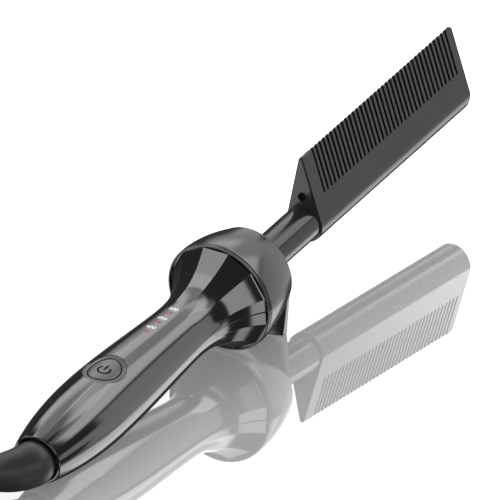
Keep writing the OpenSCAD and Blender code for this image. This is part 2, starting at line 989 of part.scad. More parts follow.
module indicator_leds() {
    color("#b3202a")
        on_table()
            at_lamps()
                translate([0, 0, board_top]) {
                    cylinder(h = led_top - board_top - led_r, r = led_r, $fn = small_fn);
                    translate([0, 0, led_top - board_top - led_r])
                        sphere(r = led_r, $fn = small_fn);
                }
}

// Light pipes from just above the lamps to the handle's face
module indicator_lenses() {
    color("#c8404a")
        on_table()
            intersection() {
                at_lamps()
                    translate([0, 0, led_top + seat_gap])
                        cylinder(h = far, r = lamp_r, $fn = small_fn);
                lowered_handle(-0.1);
            }
}

// A screw along +Z with its head's underside at the origin
module screw(len, r, head_r, head_t) {
    translate([0, 0, -head_t])
        difference() {
            cylinder(h = head_t, r = head_r, $fn = small_fn);
            block([-head_r, -drive_w / 2, -over], [head_r, drive_w / 2, head_t / 2]);
            block([-drive_w / 2, -head_r, -over], [drive_w / 2, head_r, head_t / 2]);
        }
    translate([0, 0, -eps])
        cylinder(h = len + eps, r = r, $fn = small_fn);
}

module shell_screws() {
    color("#8d8f92")
        on_table()
            for (u = [tail_post_u, front_post_u])
                translate([u, 0, -screw_seat(u)])
                    screw(screw_seat(u) + post_hole_top - thread_end, screw_r, screw_head_r, screw_head_t);
}

module board_screws() {
    color("#8d8f92")
        on_table()
            board_posts()
                translate([0, 0, board_top])
                    mirror([0, 0, 1])
                        screw(board_top + board_screw_len - thread_end, board_screw_r,
                              board_screw_head_r, board_screw_head_t);
}

module bell_screws() {
    color("#8d8f92")
        on_table()
            round_the_bell(bell_boss_radius)
                translate([seat_depth + seat_flange_t, 0, 0])
                    rotate([0, -90, 0])
                        screw(seat_depth + seat_flange_t + bell_screw_len - thread_end, screw_r,
                              flange_head_r, screw_head_t);
}

module neck_screws() {
    color("#8d8f92")
        on_table()
            round_the_bell(neck_screw_radius)
                translate([neck_back_u, 0, 0])
                    rotate([0, 90, 0])
                        screw(plate_front_u - plate_skin - thread_end - neck_back_u, screw_r,
                              flange_head_r, screw_head_t);
}

module swivel_spool() {
    color("#2b2b2e")
        on_table() {
            bar_x(spool_back_u, spool_shaft_end_u, spool_r);
            bar_x(rear_rib_u + rib_t + axial_gap, front_rib_u - axial_gap, spool_flange_r);
            bar_x(spool_shaft_end_u - eps, core_end_u, core_r);
        }
}

function ring_u(i) = first_ring_u + i * (ring_w + ring_gap);

module slip_rings() {
    color("#c9a24a")
        on_table()
            for (i = [0, 1])
                pipe_x(ring_u(i), ring_u(i) + ring_w, ring_r, core_r);
}

module brush_holder() {
    color("#e0dccf")
        on_table()
            block(
                [holder_u, -holder_half_v, holder_top - holder_t],
                [core_end_u, holder_half_v, holder_top]
            );
}

module contact_brushes() {
    color("#7a5a3a")
        on_table()
            for (i = [0, 1])
                block(
                    [ring_u(i) + (ring_w - brush_t) / 2, -brush_half_v, holder_top],
                    [ring_u(i) + (ring_w + brush_t) / 2, brush_half_v, -ring_r - running_gap]
                );
}

// Wires from the brush holder to the underside of the board
module supply_leads() {
    touch = lead_r * 0.6;    // half the height of the slanted end, which meets the board
    color("#d8d4c8")
        on_table()
            for (v = [-supply_v, supply_v])
                swept_tube(
                    [
                        [core_end_u, v, holder_top - holder_t / 2],
                        [core_end_u + lead_r, v, holder_top - holder_t / 2],
                        [board_back_u - supply_rise, v, holder_top],
                        [board_back_u - supply_rise / 3, v, board_bottom - supply_rise * 0.7],
                        [board_back_u + 0.4, v, board_bottom - touch]
                    ],
                    [lead_r, lead_r, lead_r, lead_r, lead_r],
                    wire_sides
                );
}

module cord_boot() {
    color("#2a2a2b")
        difference() {
            union() {
                on_table()
                    difference() {
                        translate([-handle_len - ball_back, 0, 0])
                            sphere(r = ball_r, $fn = round_fn);
                        block([ball_cut_u, -far, -far], [far, far, far]);
                    }
                swept_tube(boot_route, [for (p = boot_points) p[3]], boot_sides);
            }
            on_table()
                bar_x(spool_back_u, far, spool_r);
        }
}

module cord_lead() {
    color("#2a2a2b")
        swept_tube(lead_route, [for (p = lead_route) cord_d / 2], cord_sides);
}

// The folded hank: a flat ring with round ends, grooved underneath for the tie
module cord_hank() {
    color("#2a2a2b")
        difference() {
            linear_extrude(hank_h)
                difference() {
                    racetrack(hank_outer_r);
                    racetrack(hank_inner_r);
                }
            block([tie_x - tie_w / 2, -far, -over], [tie_x + tie_w / 2, 0, tie_t]);
        }
}

module racetrack(r) {
    for (x = [hank_x0, hank_x0 - hank_run])
        translate([x, hank_y])
            circle(r = r, $fn = round_fn);
    translate([hank_x0 - hank_run, hank_y - r])
        square([hank_run, 2 * r]);
}

module cord_tie() {
    low_y = hank_y - hank_outer_r - tie_gap;
    high_y = hank_y - hank_inner_r + tie_gap;
    color("#1a1a1b")
        difference() {
            block(
                [tie_x - tie_w / 2, low_y - tie_t, 0],
                [tie_x + tie_w / 2, high_y + tie_t, hank_h + tie_gap + tie_t]
            );
            block(
                [tie_x - tie_w, low_y, tie_t - tie_gap],
                [tie_x + tie_w, high_y, hank_h + tie_gap]
            );
        }
}

module cord_end() {
    color("#2a2a2b")
        swept_tube(end_route, [for (p = end_route) cord_d / 2], cord_sides);
}

// The plug: tapered relief, then a body with rounded corners
module plug_body() {
    body_x = plug_x - plug_relief_len;
    color("#242426")
        translate([0, plug_y, plug_z])
            difference() {
                union() {
                    translate([plug_x, 0, 0])
                        rotate([0, -90, 0])
                            cylinder(
                                h = plug_relief_len + over,
                                r1 = cord_d / 2 + relief_wall, r2 = plug_t / 2 - relief_step,
                                $fn = round_fn
                            );
                    translate([body_x - plug_len, 0, 0])
                        rotate([90, 0, 90])
                            linear_extrude(plug_len)
                                hull()
                                    for (y = [-1, 1] * (plug_w / 2 - plug_corner))
                                        for (z = [-1, 1] * (plug_t / 2 - plug_corner))
                                            translate([y, z])
                                                circle(r = plug_corner, $fn = small_fn);
                }
                for (s = [-1, 1])
                    translate([body_x - plug_len - over, s * pin_pitch / 2 - pin_t / 2, -pin_w / 2])
                        cube([pin_root + over, pin_t, pin_w]);
            }
}

module plug_blades() {
    back = plug_x - plug_relief_len - plug_len;
    color("#c8b070")
        for (s = [-1, 1])
            translate([back - pin_len, plug_y + s * pin_pitch / 2 - pin_t / 2, plug_z - pin_w / 2])
                difference() {
                    cube([pin_len + pin_root, pin_t, pin_w]);
                    translate([pin_hole_at, -over, pin_w / 2])
                        rotate([-90, 0, 0])
                            cylinder(h = pin_t + 2 * over, r = pin_hole_r, $fn = small_fn);
                }
}

handle_upper_shell();
handle_lower_shell();
bell_cover_upper();
bell_cover_lower();
bell_front_plate();
neck_tube();
comb_blade();
blade_end_cap();
end_cap_screw();
ceramic_insulator();
heater_element();
heater_clamp_upper();
heater_clamp_lower();
thermistor();
thermal_fuse();
heater_leads();
circuit_board();
board_components();
switch_body();
switch_plunger();
power_button();
button_bezel();
indicator_leds();
indicator_lenses();
shell_screws();
board_screws();
bell_screws();
neck_screws();
swivel_spool();
slip_rings();
brush_holder();
contact_brushes();
supply_leads();
cord_boot();
cord_lead();
cord_hank();
cord_tie();
cord_end();
plug_body();
plug_blades();
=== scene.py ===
# %% [markdown]
# # Dressing an electric hot comb
# A hot comb is a heated metal comb on a pistol-slim handle. Its working parts come from a CAD
# model. Here each visible part is made again as a smooth mesh with a real finish, in the same
# place, so that the drawing and the picture always agree.
#
# The first step loads the imported model.

# %% Load the imported model
import math

import bmesh
import bpy
from mathutils import Matrix, Vector


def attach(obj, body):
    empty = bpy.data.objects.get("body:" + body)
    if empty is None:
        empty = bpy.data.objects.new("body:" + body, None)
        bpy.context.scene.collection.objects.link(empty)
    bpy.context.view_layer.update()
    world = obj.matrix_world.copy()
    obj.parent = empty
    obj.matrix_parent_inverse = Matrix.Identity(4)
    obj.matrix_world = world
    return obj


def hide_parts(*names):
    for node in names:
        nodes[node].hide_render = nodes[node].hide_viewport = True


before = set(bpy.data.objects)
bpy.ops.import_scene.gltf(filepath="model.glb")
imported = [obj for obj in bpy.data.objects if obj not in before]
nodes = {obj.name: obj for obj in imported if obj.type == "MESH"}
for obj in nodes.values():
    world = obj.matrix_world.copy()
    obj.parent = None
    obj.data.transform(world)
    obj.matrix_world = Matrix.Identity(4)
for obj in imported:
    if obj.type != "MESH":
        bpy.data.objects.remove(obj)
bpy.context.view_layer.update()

# %% [markdown]
# ## Two sets of coordinates
# A maker measures a comb along its own axis, not across the table. So every size below is in
# millimetres in comb coordinates: u runs along the axis from the bell's rim to the blade, v
# sideways, and w up towards the teeth. One small function tips a point by five degrees, so that
# the comb rests on its foot and on the underside of its handle, and turns it into metres.

# %% From comb millimetres to the table
MM = 0.001
TIP = math.radians(5)
AXIS_HEIGHT = 23.3153047
RIM_BACK = 23.7725243
HANDLE_LEN = 128.0
TAIL_X = -HANDLE_LEN * math.cos(TIP) - RIM_BACK
TAIL_Z = -HANDLE_LEN * math.sin(TIP) + AXIS_HEIGHT


def on_table(u, v, w):
    """A comb point in millimetres, as a point of the table frame in metres."""
    x = u * math.cos(TIP) - w * math.sin(TIP) - RIM_BACK
    z = u * math.sin(TIP) + w * math.cos(TIP) + AXIS_HEIGHT
    return Vector((x, v, z)) * MM


def about_axis(u, radius, angle):
    """A comb point at a distance from the axis and at an angle in degrees, in metres."""
    turn = math.radians(angle)
    return on_table(u, radius * math.cos(turn), radius * math.sin(turn))


def comb_direction(u, v, w):
    """A direction along the comb, turned with it."""
    return Vector((u * math.cos(TIP) - w * math.sin(TIP), v, u * math.sin(TIP) + w * math.cos(TIP)))


print("tail centre at", [round(c, 4) for c in on_table(-HANDLE_LEN, 0, 0)])

# %% [markdown]
# ## The camera
# A very long lens from far away shows a slim tool almost without bending or shrinking any of
# its lines. The camera looks down at the comb from behind the handle and to its right, so the
# handle comes towards the eye and the blade points away. It is placed first, because the
# cord's hidden length is laid where this camera doesn't see it.

# %% Place the camera
CAMERA_RIGHT = (0.5355, -0.8429, -0.0529)
CAMERA_BACK = (-0.6978, -0.4769, 0.5345)
CAMERA_DISTANCE = 8.742
AIM_RIGHT, AIM_UP = 11.92, 18.33
LENS, SENSOR_WIDTH, SEE_TO = 1650, 36, 50

back = comb_direction(*CAMERA_BACK).normalized()
right = comb_direction(*CAMERA_RIGHT)
right = (right - back * right.dot(back)).normalized()
up = back.cross(right)
target = on_table(0, 0, 0) + right * AIM_RIGHT * MM + up * AIM_UP * MM

camera = bpy.data.objects.new("camera", bpy.data.cameras.new("camera"))
camera.data.lens = LENS
camera.data.sensor_width = SENSOR_WIDTH
camera.data.clip_end = SEE_TO
turn = Matrix((right, up, back)).transposed()
camera.matrix_world = Matrix.Translation(target + back * CAMERA_DISTANCE) @ turn.to_4x4()
bpy.context.scene.collection.objects.link(camera)
bpy.context.scene.camera = camera
bpy.context.scene.view_settings.view_transform = "Standard"
print("camera at", [round(c, 3) for c in camera.location])

# %% [markdown]
# ## Helpers for meshes
# Most parts here are skins: rows of points with a quad between each four neighbours. A round
# part is such a skin turned about the comb's axis. One function makes the faces, one makes the
# object, and both are used for every part, so each part's own cell only says where its points
# are.

# %% Skins, objects and turned parts
SHARP_FROM = 32
MERGE_WITHIN = 1e-7
SAME_PLANE = 0.9995


def skin(rings, first_cap=True, last_cap=True):
    """Points and quads that join equal rings, with a face at either end."""
    count = len(rings[0])
    points = [p for ring in rings for p in ring]
    faces = []
    for i in range(len(rings) - 1):
        for j in range(count):
            a, b = i * count + j, i * count + (j + 1) % count
            faces.append((a, b, b + count, a + count))
    if first_cap:
        faces.append(tuple(range(count)))
    if last_cap:
        faces.append(tuple(range(len(points) - count, len(points))))
    return points, faces


def arc(*degrees):
    """Some angles in radians."""
    return [math.radians(d) for d in degrees]


def new_object(name, data):
    """An object with some data, set into the scene."""
    piece = bpy.data.objects.new(name, data)
    bpy.context.scene.collection.objects.link(piece)
    return piece


def object_from(bm, name, mesh, sharp_from=SHARP_FROM):
    """The object of a closed bmesh, facing outwards, smooth but for its real corners."""
    bmesh.ops.recalc_face_normals(bm, faces=bm.faces)
    limit = math.radians(sharp_from)
    for face in bm.faces:
        face.smooth = True
    for edge in bm.edges:
        edge.smooth = len(edge.link_faces) == 2 and edge.calc_face_angle(0) < limit
    bm.to_mesh(mesh)
    bm.free()
    return new_object(name, mesh)


def make_object(name, points, faces, sharp_from=SHARP_FROM):
    """A closed piece from metre points, with real corners from an angle in degrees."""
    mesh = bpy.data.meshes.new(name)
    mesh.from_pydata([tuple(p) for p in points], [], faces)
    bm = bmesh.new()
    bm.from_mesh(mesh)
    bmesh.ops.remove_doubles(bm, verts=bm.verts, dist=MERGE_WITHIN)
    return object_from(bm, name, mesh, sharp_from)


def turned(profile, steps=96, centre=(0.0, 0.0)):
    """A closed profile of (u, radius) points, turned about a line along the comb."""
    rings = []
    for i in range(steps):
        angle = math.radians(360.0 * i / steps)
        rings.append([
            on_table(u, centre[0] + r * math.cos(angle), centre[1] + r * math.sin(angle))
            for u, r in profile
        ])
    return skin(rings + rings[:1], first_cap=False, last_cap=False)


def oval_points(half_long, half_wide, sides):
    """Even steps round an oval about the origin."""
    turns = [2 * math.pi * i / sides for i in range(sides)]
    return [(half_long * math.cos(a), half_wide * math.sin(a)) for a in turns]


def upright_rings(u, v, rows, sides):
    """Level circles about an upright line through (u, v), from rows of (radius, w)."""
    return [
        [on_table(u + x, v + y, w) for x, y in oval_points(r, r, sides)] for r, w in rows
    ]


def evaluated_mesh(piece):
    """A piece's mesh as its modifiers make it."""
    return bpy.data.meshes.new_from_object(
        piece.evaluated_get(bpy.context.evaluated_depsgraph_get())
    )


def take_modifiers(piece):
    """Takes the piece's modifiers into its mesh and removes them."""
    mesh = evaluated_mesh(piece)
    piece.modifiers.clear()
    piece.data = mesh


def cut(piece, *cutters):
    """Cuts holes in a piece and removes the cutters."""
    for cutter in cutters:
        step = piece.modifiers.new("cut", "BOOLEAN")
        step.operation, step.solver, step.object = "DIFFERENCE", "EXACT", cutter
    take_modifiers(piece)
    for cutter in cutters:
        bpy.data.objects.remove(cutter)
    return piece


def keep_flat(piece, *directions):
    """Lights a piece's flat sides as true planes, whatever round they run into."""
    mesh = piece.data
    normals = [tuple(n.vector) for n in mesh.corner_normals]
    for face in mesh.polygons:
        for direction in directions:
            if face.normal.dot(direction) > SAME_PLANE:
                for k in face.loop_indices:
                    normals[k] = tuple(direction)
    mesh.normals_split_custom_set(normals)


def add_to(piece, *others):
    """Takes other pieces' meshes into a piece and removes them."""
    bm = bmesh.new()
    for source in (piece, *others):
        bm.from_mesh(source.data)
    bm.to_mesh(piece.data)
    bm.free()
    for source in others:
        bpy.data.objects.remove(source)


def settle(piece, body, slot, finish, *replaced):
    """Gives a finished piece its finish and body, hides the CAD nodes it stands for; slot is not
    used.
    """
    piece.data.materials.clear()
    piece.data.materials.append(FINISHES[finish])
    piece.data.polygons.foreach_set("material_index", [0] * len(piece.data.polygons))
    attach(piece, body)
    if replaced:
        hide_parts(*replaced)
    print(f"{piece.name}: {len(piece.data.polygons)} faces on {body}")


# %% [markdown]
# ## The cord's route
# A mains lead is a fixed length of rubber hose with copper in it, about 1.8 m on a tool like
# this. Only its first centimetres are near the comb. The rest is folded into a hank, as it
# comes out of the box: three lanes beside each other and three layers high, held by a tie. The
# cord is laid out before anything else, because its place decides how much table the model
# needs.

# %% Lay the cord's centre line
CORD_RADIUS = 3.0
HANK_X = TAIL_X - 75.0
HANK_Y = 3.0
HANK_RUN = 66.0
HANK_RADIUS = 30.0
HANK_TURNS, CLIMBS_AT = 6, (1.75, 3.75)
TIE_X = HANK_X - HANK_RUN / 2
TIE_WIDTH, TIE_REACH = 12.0, 12
TIE_LIFT, TIE_PRESS = 0.85, 0.05


def smooth_step(t):
    """0 to 1, with no corner at either end."""
    t = max(0.0, min(1.0, t))
    return t * t * (3 - 2 * t)


def hank_lane(turns):
    """Radius and height of the cord's centre after a number of turns."""
    lane = turns if turns < 2 else 4 - turns if turns < 4 else turns - 4
    layer = sum(smooth_step((turns - start) * 2) for start in CLIMBS_AT)
    return HANK_RADIUS - 2 * CORD_RADIUS * lane, CORD_RADIUS + 2 * CORD_RADIUS * layer


def hank_point(turns):
    """A point of the hank: out along one side, round the far end, back, round the near end."""
    radius, height = hank_lane(turns)
    arc = math.pi * radius
    along = (turns % 1.0) * 2 * (HANK_RUN + arc)
    if along < HANK_RUN:
        x, y = HANK_X - along, radius
    elif along < HANK_RUN + arc:
        angle = (along - HANK_RUN) / radius
        x, y = HANK_X - HANK_RUN - radius * math.sin(angle), radius * math.cos(angle)
    elif along < 2 * HANK_RUN + arc:
        x, y = HANK_X - HANK_RUN + (along - HANK_RUN - arc), -radius
    else:
        angle = (along - 2 * HANK_RUN - arc) / radius
        x, y = HANK_X + radius * math.sin(angle), -radius * math.cos(angle)
    if y < 0:
        near_tie = 1 - smooth_step((abs(x - TIE_X) - TIE_WIDTH / 2 - 1) / TIE_REACH)
        height += near_tie * (TIE_LIFT - TIE_PRESS * (height - CORD_RADIUS))
    return Vector((x, HANK_Y + y, height))


def curve_through(points, step):
    """Even points on a smooth curve through the given ones."""
    line = []
    for i in range(len(points) - 1):
        before = points[max(i - 1, 0)]
        a, b = points[i], points[i + 1]
        after = points[min(i + 2, len(points) - 1)]
        if i == 0:
            before = a + (a - b)
        if i == len(points) - 2:
            after = b + (b - a)
        parts = max(1, round((b - a).length / step))
        for k in range(parts):
            t = k / parts
            line.append(0.5 * (
                2 * a + (b - before) * t + (2 * before - 5 * a + 4 * b - after) * t * t
                + (3 * a - before - 3 * b + after) * t ** 3
            ))
    return line + [points[-1]]


def behind_tail(rows):
    return [Vector((TAIL_X + x, y, z)) for x, y, z in rows]


lead_points = behind_tail([
    (-39.9, 32.6, 4.0), (-51.5, 33.0, 3.1), (-63.5, 33.0, 3.02), (-75.0, 33.0, 3.02)
])
end_points = behind_tail([
    (-75.0, 21.0, 15.0), (-82.4, 21.1, 15.6), (-90.4, 21.7, 17.6), (-98.4, 22.8, 20.6),
    (-106.4, 24.1, 23.3), (-113.4, 24.9, 24.8), (-118.4, 25.0, 25.0),
])
STEPS_PER_TURN = 96
hank_line = [hank_point(k / STEPS_PER_TURN) for k in range(1, HANK_TURNS * STEPS_PER_TURN)]
cord_line = curve_through(lead_points, 3) + hank_line + curve_through(end_points, 2.5)
cord_path = [p * MM for p in cord_line]
cord_length = sum((b - a).length for a, b in zip(cord_path, cord_path[1:]))
print(f"cord route: {len(cord_path)} points, {cord_length:.3f} m")


# %% [markdown]
# A tube is swept along the route. Each ring is turned only as much as the route bends, which
# keeps the rubber from twisting. The same function makes the boot later, with a radius for
# each ring.

# %% Sweep a tube
def swept(line, radii, sides):
    """Rings round a line, carried along without twist, with a flat end at both sides."""
    rings = []
    across = None
    for i, point in enumerate(line):
        ahead = (line[min(i + 1, len(line) - 1)] - line[max(i - 1, 0)]).normalized()
        if across is None:
            across = ahead.cross(Vector((0, 0, 1))).normalized()
        across = (across - ahead * across.dot(ahead)).normalized()
        upright = ahead.cross(across)
        rings.append([
            point + radii[i] * (across * x + upright * y) for x, y in oval_points(1, 1, sides)
        ])
    return skin(rings)


cord = make_object("mains_lead", *swept(cord_path, [CORD_RADIUS * MM] * len(cord_path), 20))
print("cord mesh", len(cord.data.polygons), "faces")


# %% [markdown]
# ## Finishes
# Black plastic is never one black. A gloss moulding has a faint haze and hairlines that only
# show in its reflections, a satin one has a fine spark-eroded grain, and a coated metal is
# rougher still. These effects are shared, so each is a shader node group with named inputs,
# built once. They put out only values, and the shader itself stays in each material.

# %% Shader groups shared by the finishes
def group_tree(name, inputs, outputs):
    """A shader group, with what it is given, what it makes and the place on the object."""
    tree = bpy.data.node_groups.new(name, "ShaderNodeTree")
    for label, default in inputs:
        socket = tree.interface.new_socket(label, in_out="INPUT", socket_type="NodeSocketFloat")
        socket.default_value = default
    for label in outputs:
        tree.interface.new_socket(label, in_out="OUTPUT", socket_type="NodeSocketFloat")
    given, made = tree.nodes.new("NodeGroupInput"), tree.nodes.new("NodeGroupOutput")
    place = tree.nodes.new("ShaderNodeTexCoord").outputs["Object"]
    return tree, given.outputs, made.inputs, place


def feed(tree, socket, value):
    """Joins a socket to an output, or sets it to a number."""
    if hasattr(value, "links"):
        tree.links.new(value, socket)
    else:
        socket.default_value = value


def join(tree, *pairs):
    """Joins each output to its input."""
    for source, target in pairs:
        tree.links.new(source, target)


def place_node(tree, kind):
    """The X, Y and Z outputs of a place or a direction."""
    node = tree.nodes.new("ShaderNodeSeparateXYZ")
    tree.links.new(tree.nodes.new("ShaderNodeTexCoord").outputs[kind], node.inputs[0])
    return node.outputs


def noise_node(tree, place, scale, detail):
    node = tree.nodes.new("ShaderNodeTexNoise")
    for label, value in (("Vector", place), ("Scale", scale), ("Detail", detail)):
        feed(tree, node.inputs[label], value)
    return node.outputs["Fac"]


def math_node(tree, operation, a, b=0.0, clamp=False):
    node = tree.nodes.new("ShaderNodeMath")
    node.operation, node.use_clamp = operation, clamp
    feed(tree, node.inputs[0], a)
    feed(tree, node.inputs[1], b)
    return node.outputs[0]


def range_node(tree, value, low, high, to_low=0.0, to_high=1.0):
    node = tree.nodes.new("ShaderNodeMapRange")
    for label, setting in (
        ("Value", value), ("From Min", low), ("From Max", high),
        ("To Min", to_low), ("To Max", to_high),
    ):
        feed(tree, node.inputs[label], setting)
    return node.outputs["Result"]


def mix_node(tree, share, first, second):
    """A colour between two, by a share."""
    node = tree.nodes.new("ShaderNodeMix")
    node.data_type = "RGBA"
    for label, value in (("Factor", share), ("A", first), ("B", second)):
        feed(tree, node.inputs[label], value)
    return node.outputs["Result"]


def group_node(tree, group, **settings):
    """A node that uses a group, with its inputs set by name."""
    node = tree.nodes.new("ShaderNodeGroup")
    node.node_tree = group
    for label, value in settings.items():
        node.inputs[label].default_value = value
    return node


def build_handling():
    """Haze and hairlines: a roughness that changes over the surface, and a tint mask."""
    tree, given, made, place = group_tree(
        "handling_marks",
        [("Roughness", 0.1), ("Haze", 0.04), ("Hairlines", 0.05), ("Size", 60.0)],
        ["Roughness", "Mask"],
    )
    haze = noise_node(tree, place, given["Size"], 4.0)
    stretch = tree.nodes.new("ShaderNodeMapping")
    stretch.inputs["Scale"].default_value = (0.06, 1.0, 1.0)
    stretch.inputs["Rotation"].default_value = (0.2, -TIP, 0.1)
    tree.links.new(place, stretch.inputs["Vector"])
    lines = range_node(tree, noise_node(tree, stretch.outputs[0], 2600.0, 2.0), 0.66, 0.74)
    haze_part = math_node(tree, "MULTIPLY", haze, given["Haze"])
    line_part = math_node(tree, "MULTIPLY", lines, given["Hairlines"])
    total = math_node(tree, "ADD", given["Roughness"], haze_part)
    total = math_node(tree, "ADD", total, line_part, clamp=True)
    mask = range_node(tree, haze, 0.35, 0.65)
    join(tree, (total, made["Roughness"]), (mask, made["Mask"]))
    return tree


def build_grain():
    """The fine grain of a spark-eroded mould, as a height from 0 to 1."""
    tree, given, made, place = group_tree("moulded_grain", [("Size", 1800.0)], ["Height"])
    cells = tree.nodes.new("ShaderNodeTexVoronoi")
    join(tree, (place, cells.inputs["Vector"]), (given["Size"], cells.inputs["Scale"]))
    soft = noise_node(tree, place, given["Size"], 2.0)
    height = math_node(tree, "MULTIPLY", cells.outputs["Distance"], soft)
    tree.links.new(height, made["Height"])
    return tree


def build_edge_wear():
    """Where a raised edge has been rubbed: 0 on the flats, up to 1 on the edge."""
    tree, given, made, place = group_tree(
        "edge_wear", [("Spread", 0.05), ("Amount", 0.5)], ["Mask"]
    )
    point = tree.nodes.new("ShaderNodeNewGeometry").outputs["Pointiness"]
    patches = range_node(tree, noise_node(tree, place, 350.0, 3.0), 0.3, 0.7)
    edge = range_node(tree, point, 0.5, math_node(tree, "ADD", given["Spread"], 0.5))
    worn = math_node(tree, "MULTIPLY", edge, patches)
    worn = math_node(tree, "MULTIPLY", worn, given["Amount"], clamp=True)
    tree.links.new(worn, made["Mask"])
    return tree


HANDLING = build_handling()
GRAIN = build_grain()
EDGE_WEAR = build_edge_wear()
print("shader groups:", HANDLING.name, GRAIN.name, EDGE_WEAR.name)

# %% [markdown]
# A finish is then a short list of numbers: two close colours, how rough the surface is, how
# deep its grain, how much its edges are rubbed. One function places the groups and joins them
# to a Principled shader. Numbers that are the same all over the surface are set on the shader's
# own sockets, where other programs can read them.

# %% A finish from a few numbers
BUMP_DISTANCE = 0.0002
COAT_ROUGHNESS = 0.04


def rgba(colour):
    """A colour from three numbers, or a grey from one."""
    return (*colour, 1) if isinstance(colour, tuple) else (colour, colour, colour, 1)


def finish_of(name, dark, light, rough, haze=0.05, hairlines=0.0, grain=0.0, grain_size=1800.0,
              wear=0.0, worn=0.25, metallic=0.0, coat=0.0, specular=0.5, ior=1.5,
              glow=0.0, glow_strength=0.0, mark_size=60.0):
    material = bpy.data.materials.new(name)
    material.use_nodes = True
    tree = material.node_tree
    shader = tree.nodes["Principled BSDF"]
    marks = group_node(
        tree, HANDLING, Roughness=rough, Haze=haze, Hairlines=hairlines, Size=mark_size
    )
    colour = mix_node(tree, marks.outputs["Mask"], rgba(dark), rgba(light))
    if wear:
        edge = group_node(tree, EDGE_WEAR, Amount=wear)
        colour = mix_node(tree, edge.outputs["Mask"], colour, rgba(worn))
    join(
        tree, (colour, shader.inputs["Base Color"]),
        (marks.outputs["Roughness"], shader.inputs["Roughness"]),
    )
    if grain:
        bumps = group_node(tree, GRAIN, Size=grain_size)
        bump = tree.nodes.new("ShaderNodeBump")
        bump.inputs["Strength"].default_value = grain
        bump.inputs["Distance"].default_value = BUMP_DISTANCE
        join(
            tree, (bumps.outputs["Height"], bump.inputs["Height"]),
            (bump.outputs["Normal"], shader.inputs["Normal"]),
        )
    for label, value in (
        ("Metallic", metallic), ("Specular IOR Level", specular), ("IOR", ior),
        ("Coat Weight", coat), ("Coat Roughness", COAT_ROUGHNESS),
    ):
        shader.inputs[label].default_value = value
    if glow:
        shader.inputs["Emission Color"].default_value = rgba(glow)
        shader.inputs["Emission Strength"].default_value = glow_strength
    return material


def finishes_of(rows, prefix=""):
    """The finishes of a table's rows, by their names."""
    return {
        name: finish_of(prefix + name, dark, light, rough, **more)
        for name, dark, light, rough, more in rows
    }


# %% The finishes of the outside
FINISHES = finishes_of((
    # name, dark colour, light colour, roughness, what else differs from the usual
    ("gloss_black", 0.0040, 0.0060, 0.09, dict(haze=0.03, hairlines=0.03, ior=2.1)),
    ("bell_black", 0.0050, 0.0080, 0.18, dict(hairlines=0.03, ior=2.0)),
    ("plate_black", 0.012, 0.017, 0.34, dict(haze=0.1, grain=0.15, coat=0.1)),
    ("neck_black", 0.010, 0.014, 0.11, dict(hairlines=0.05, ior=1.6, wear=0.1, mark_size=90.0)),
    ("cap_black", 0.022, 0.028, 0.12, dict(ior=1.56)),
    ("blade_coating", 0.013, 0.017, 0.17, dict(
        hairlines=0.05, grain=0.04, grain_size=2600.0, wear=0.1, worn=0.10, ior=1.53,
        mark_size=120.0)),
    # painted shade: a near black for the shadow in the slots, the cap's rim and the screw's socket
    ("painted_shade_black", 0.0025, 0.004, 0.7, dict(haze=0.1, specular=0.1)),
    ("blackened_steel", 0.010, 0.02, 0.35, dict(haze=0.2, metallic=0.6, wear=0.3)),
    ("button_black", 0.045, 0.055, 0.22, dict(haze=0.06, hairlines=0.03, coat=0.3)),
    ("bezel_black", 0.03, 0.04, 0.15, dict(coat=0.5)),
    ("symbol_black", 0.002, 0.004, 0.7, dict(haze=0.1, specular=0.08)),
    ("printed_white", 0.80, 0.86, 0.45, dict(haze=0.2, mark_size=900.0)),
    ("lamp_window", (0.20, 0.035, 0.045), (0.34, 0.08, 0.09), 0.2, dict(
        haze=0.1, coat=0.5, glow=(1.0, 0.25, 0.3), glow_strength=0.03, mark_size=1500.0)),
    ("boot_rubber", 0.022, 0.030, 0.36, dict(
        haze=0.12, grain=0.2, grain_size=2200.0, mark_size=80.0)),
    ("cord_rubber", 0.014, 0.021, 0.46, dict(
        haze=0.14, grain=0.4, grain_size=2600.0, mark_size=140.0)),
    ("tie_black", 0.016, 0.024, 0.5, dict(haze=0.15, grain=0.5)),
    ("plug_black", 0.014, 0.02, 0.4, dict(haze=0.12, grain=0.4, wear=0.2, mark_size=120.0)),
    ("brass", (0.60, 0.42, 0.16), (0.72, 0.52, 0.22), 0.22, dict(
        haze=0.15, hairlines=0.1, metallic=1.0, mark_size=300.0)),
))
print(len(FINISHES), "finishes for the outside")

# %% [markdown]
# ## The handle
# The handle is two glossy half shells, round and slim like an egg drawn out, which open into a
# flare of twelve flats at the front. The round part and the flats are one surface: a rule gives
# the radius at every place, and along the flare it slides from a circle to a twelve-sided
# outline. The halves meet along the comb's sides in a fine groove, and the walls are about
# 2 mm thick.

# %% The rule of the handle's outline
BELLY_AT, WAIST_AT = 88.0, 22.4
TAIL_R, BELLY_R, WAIST_R = 10.3, 15.0, 11.75
TAIL_SLOPE, WAIST_SLOPE = 0.25, -0.03
FLARE_FROM, FLARE_R, FLARE_POWER = 32.0, 22.1, 2.6
FLAT_FROM, FLAT_TO = 10.0, 28.0
FLAT_ANGLE, FLAT_SHARE = 30.0, 0.995
SHELL_WALL, FLAT_INSIDE = 2.2, 0.966


def hermite(p0, p1, s0, s1, length, t):
    """A smooth run from p0 to p1 over a length, with the slopes s0 and s1 at its ends."""
    u = 1 - t
    return p0 * (1 + 2 * t) * u * u + p1 * t * t * (3 - 2 * t) + length * t * u * (s0 * u - s1 * t)


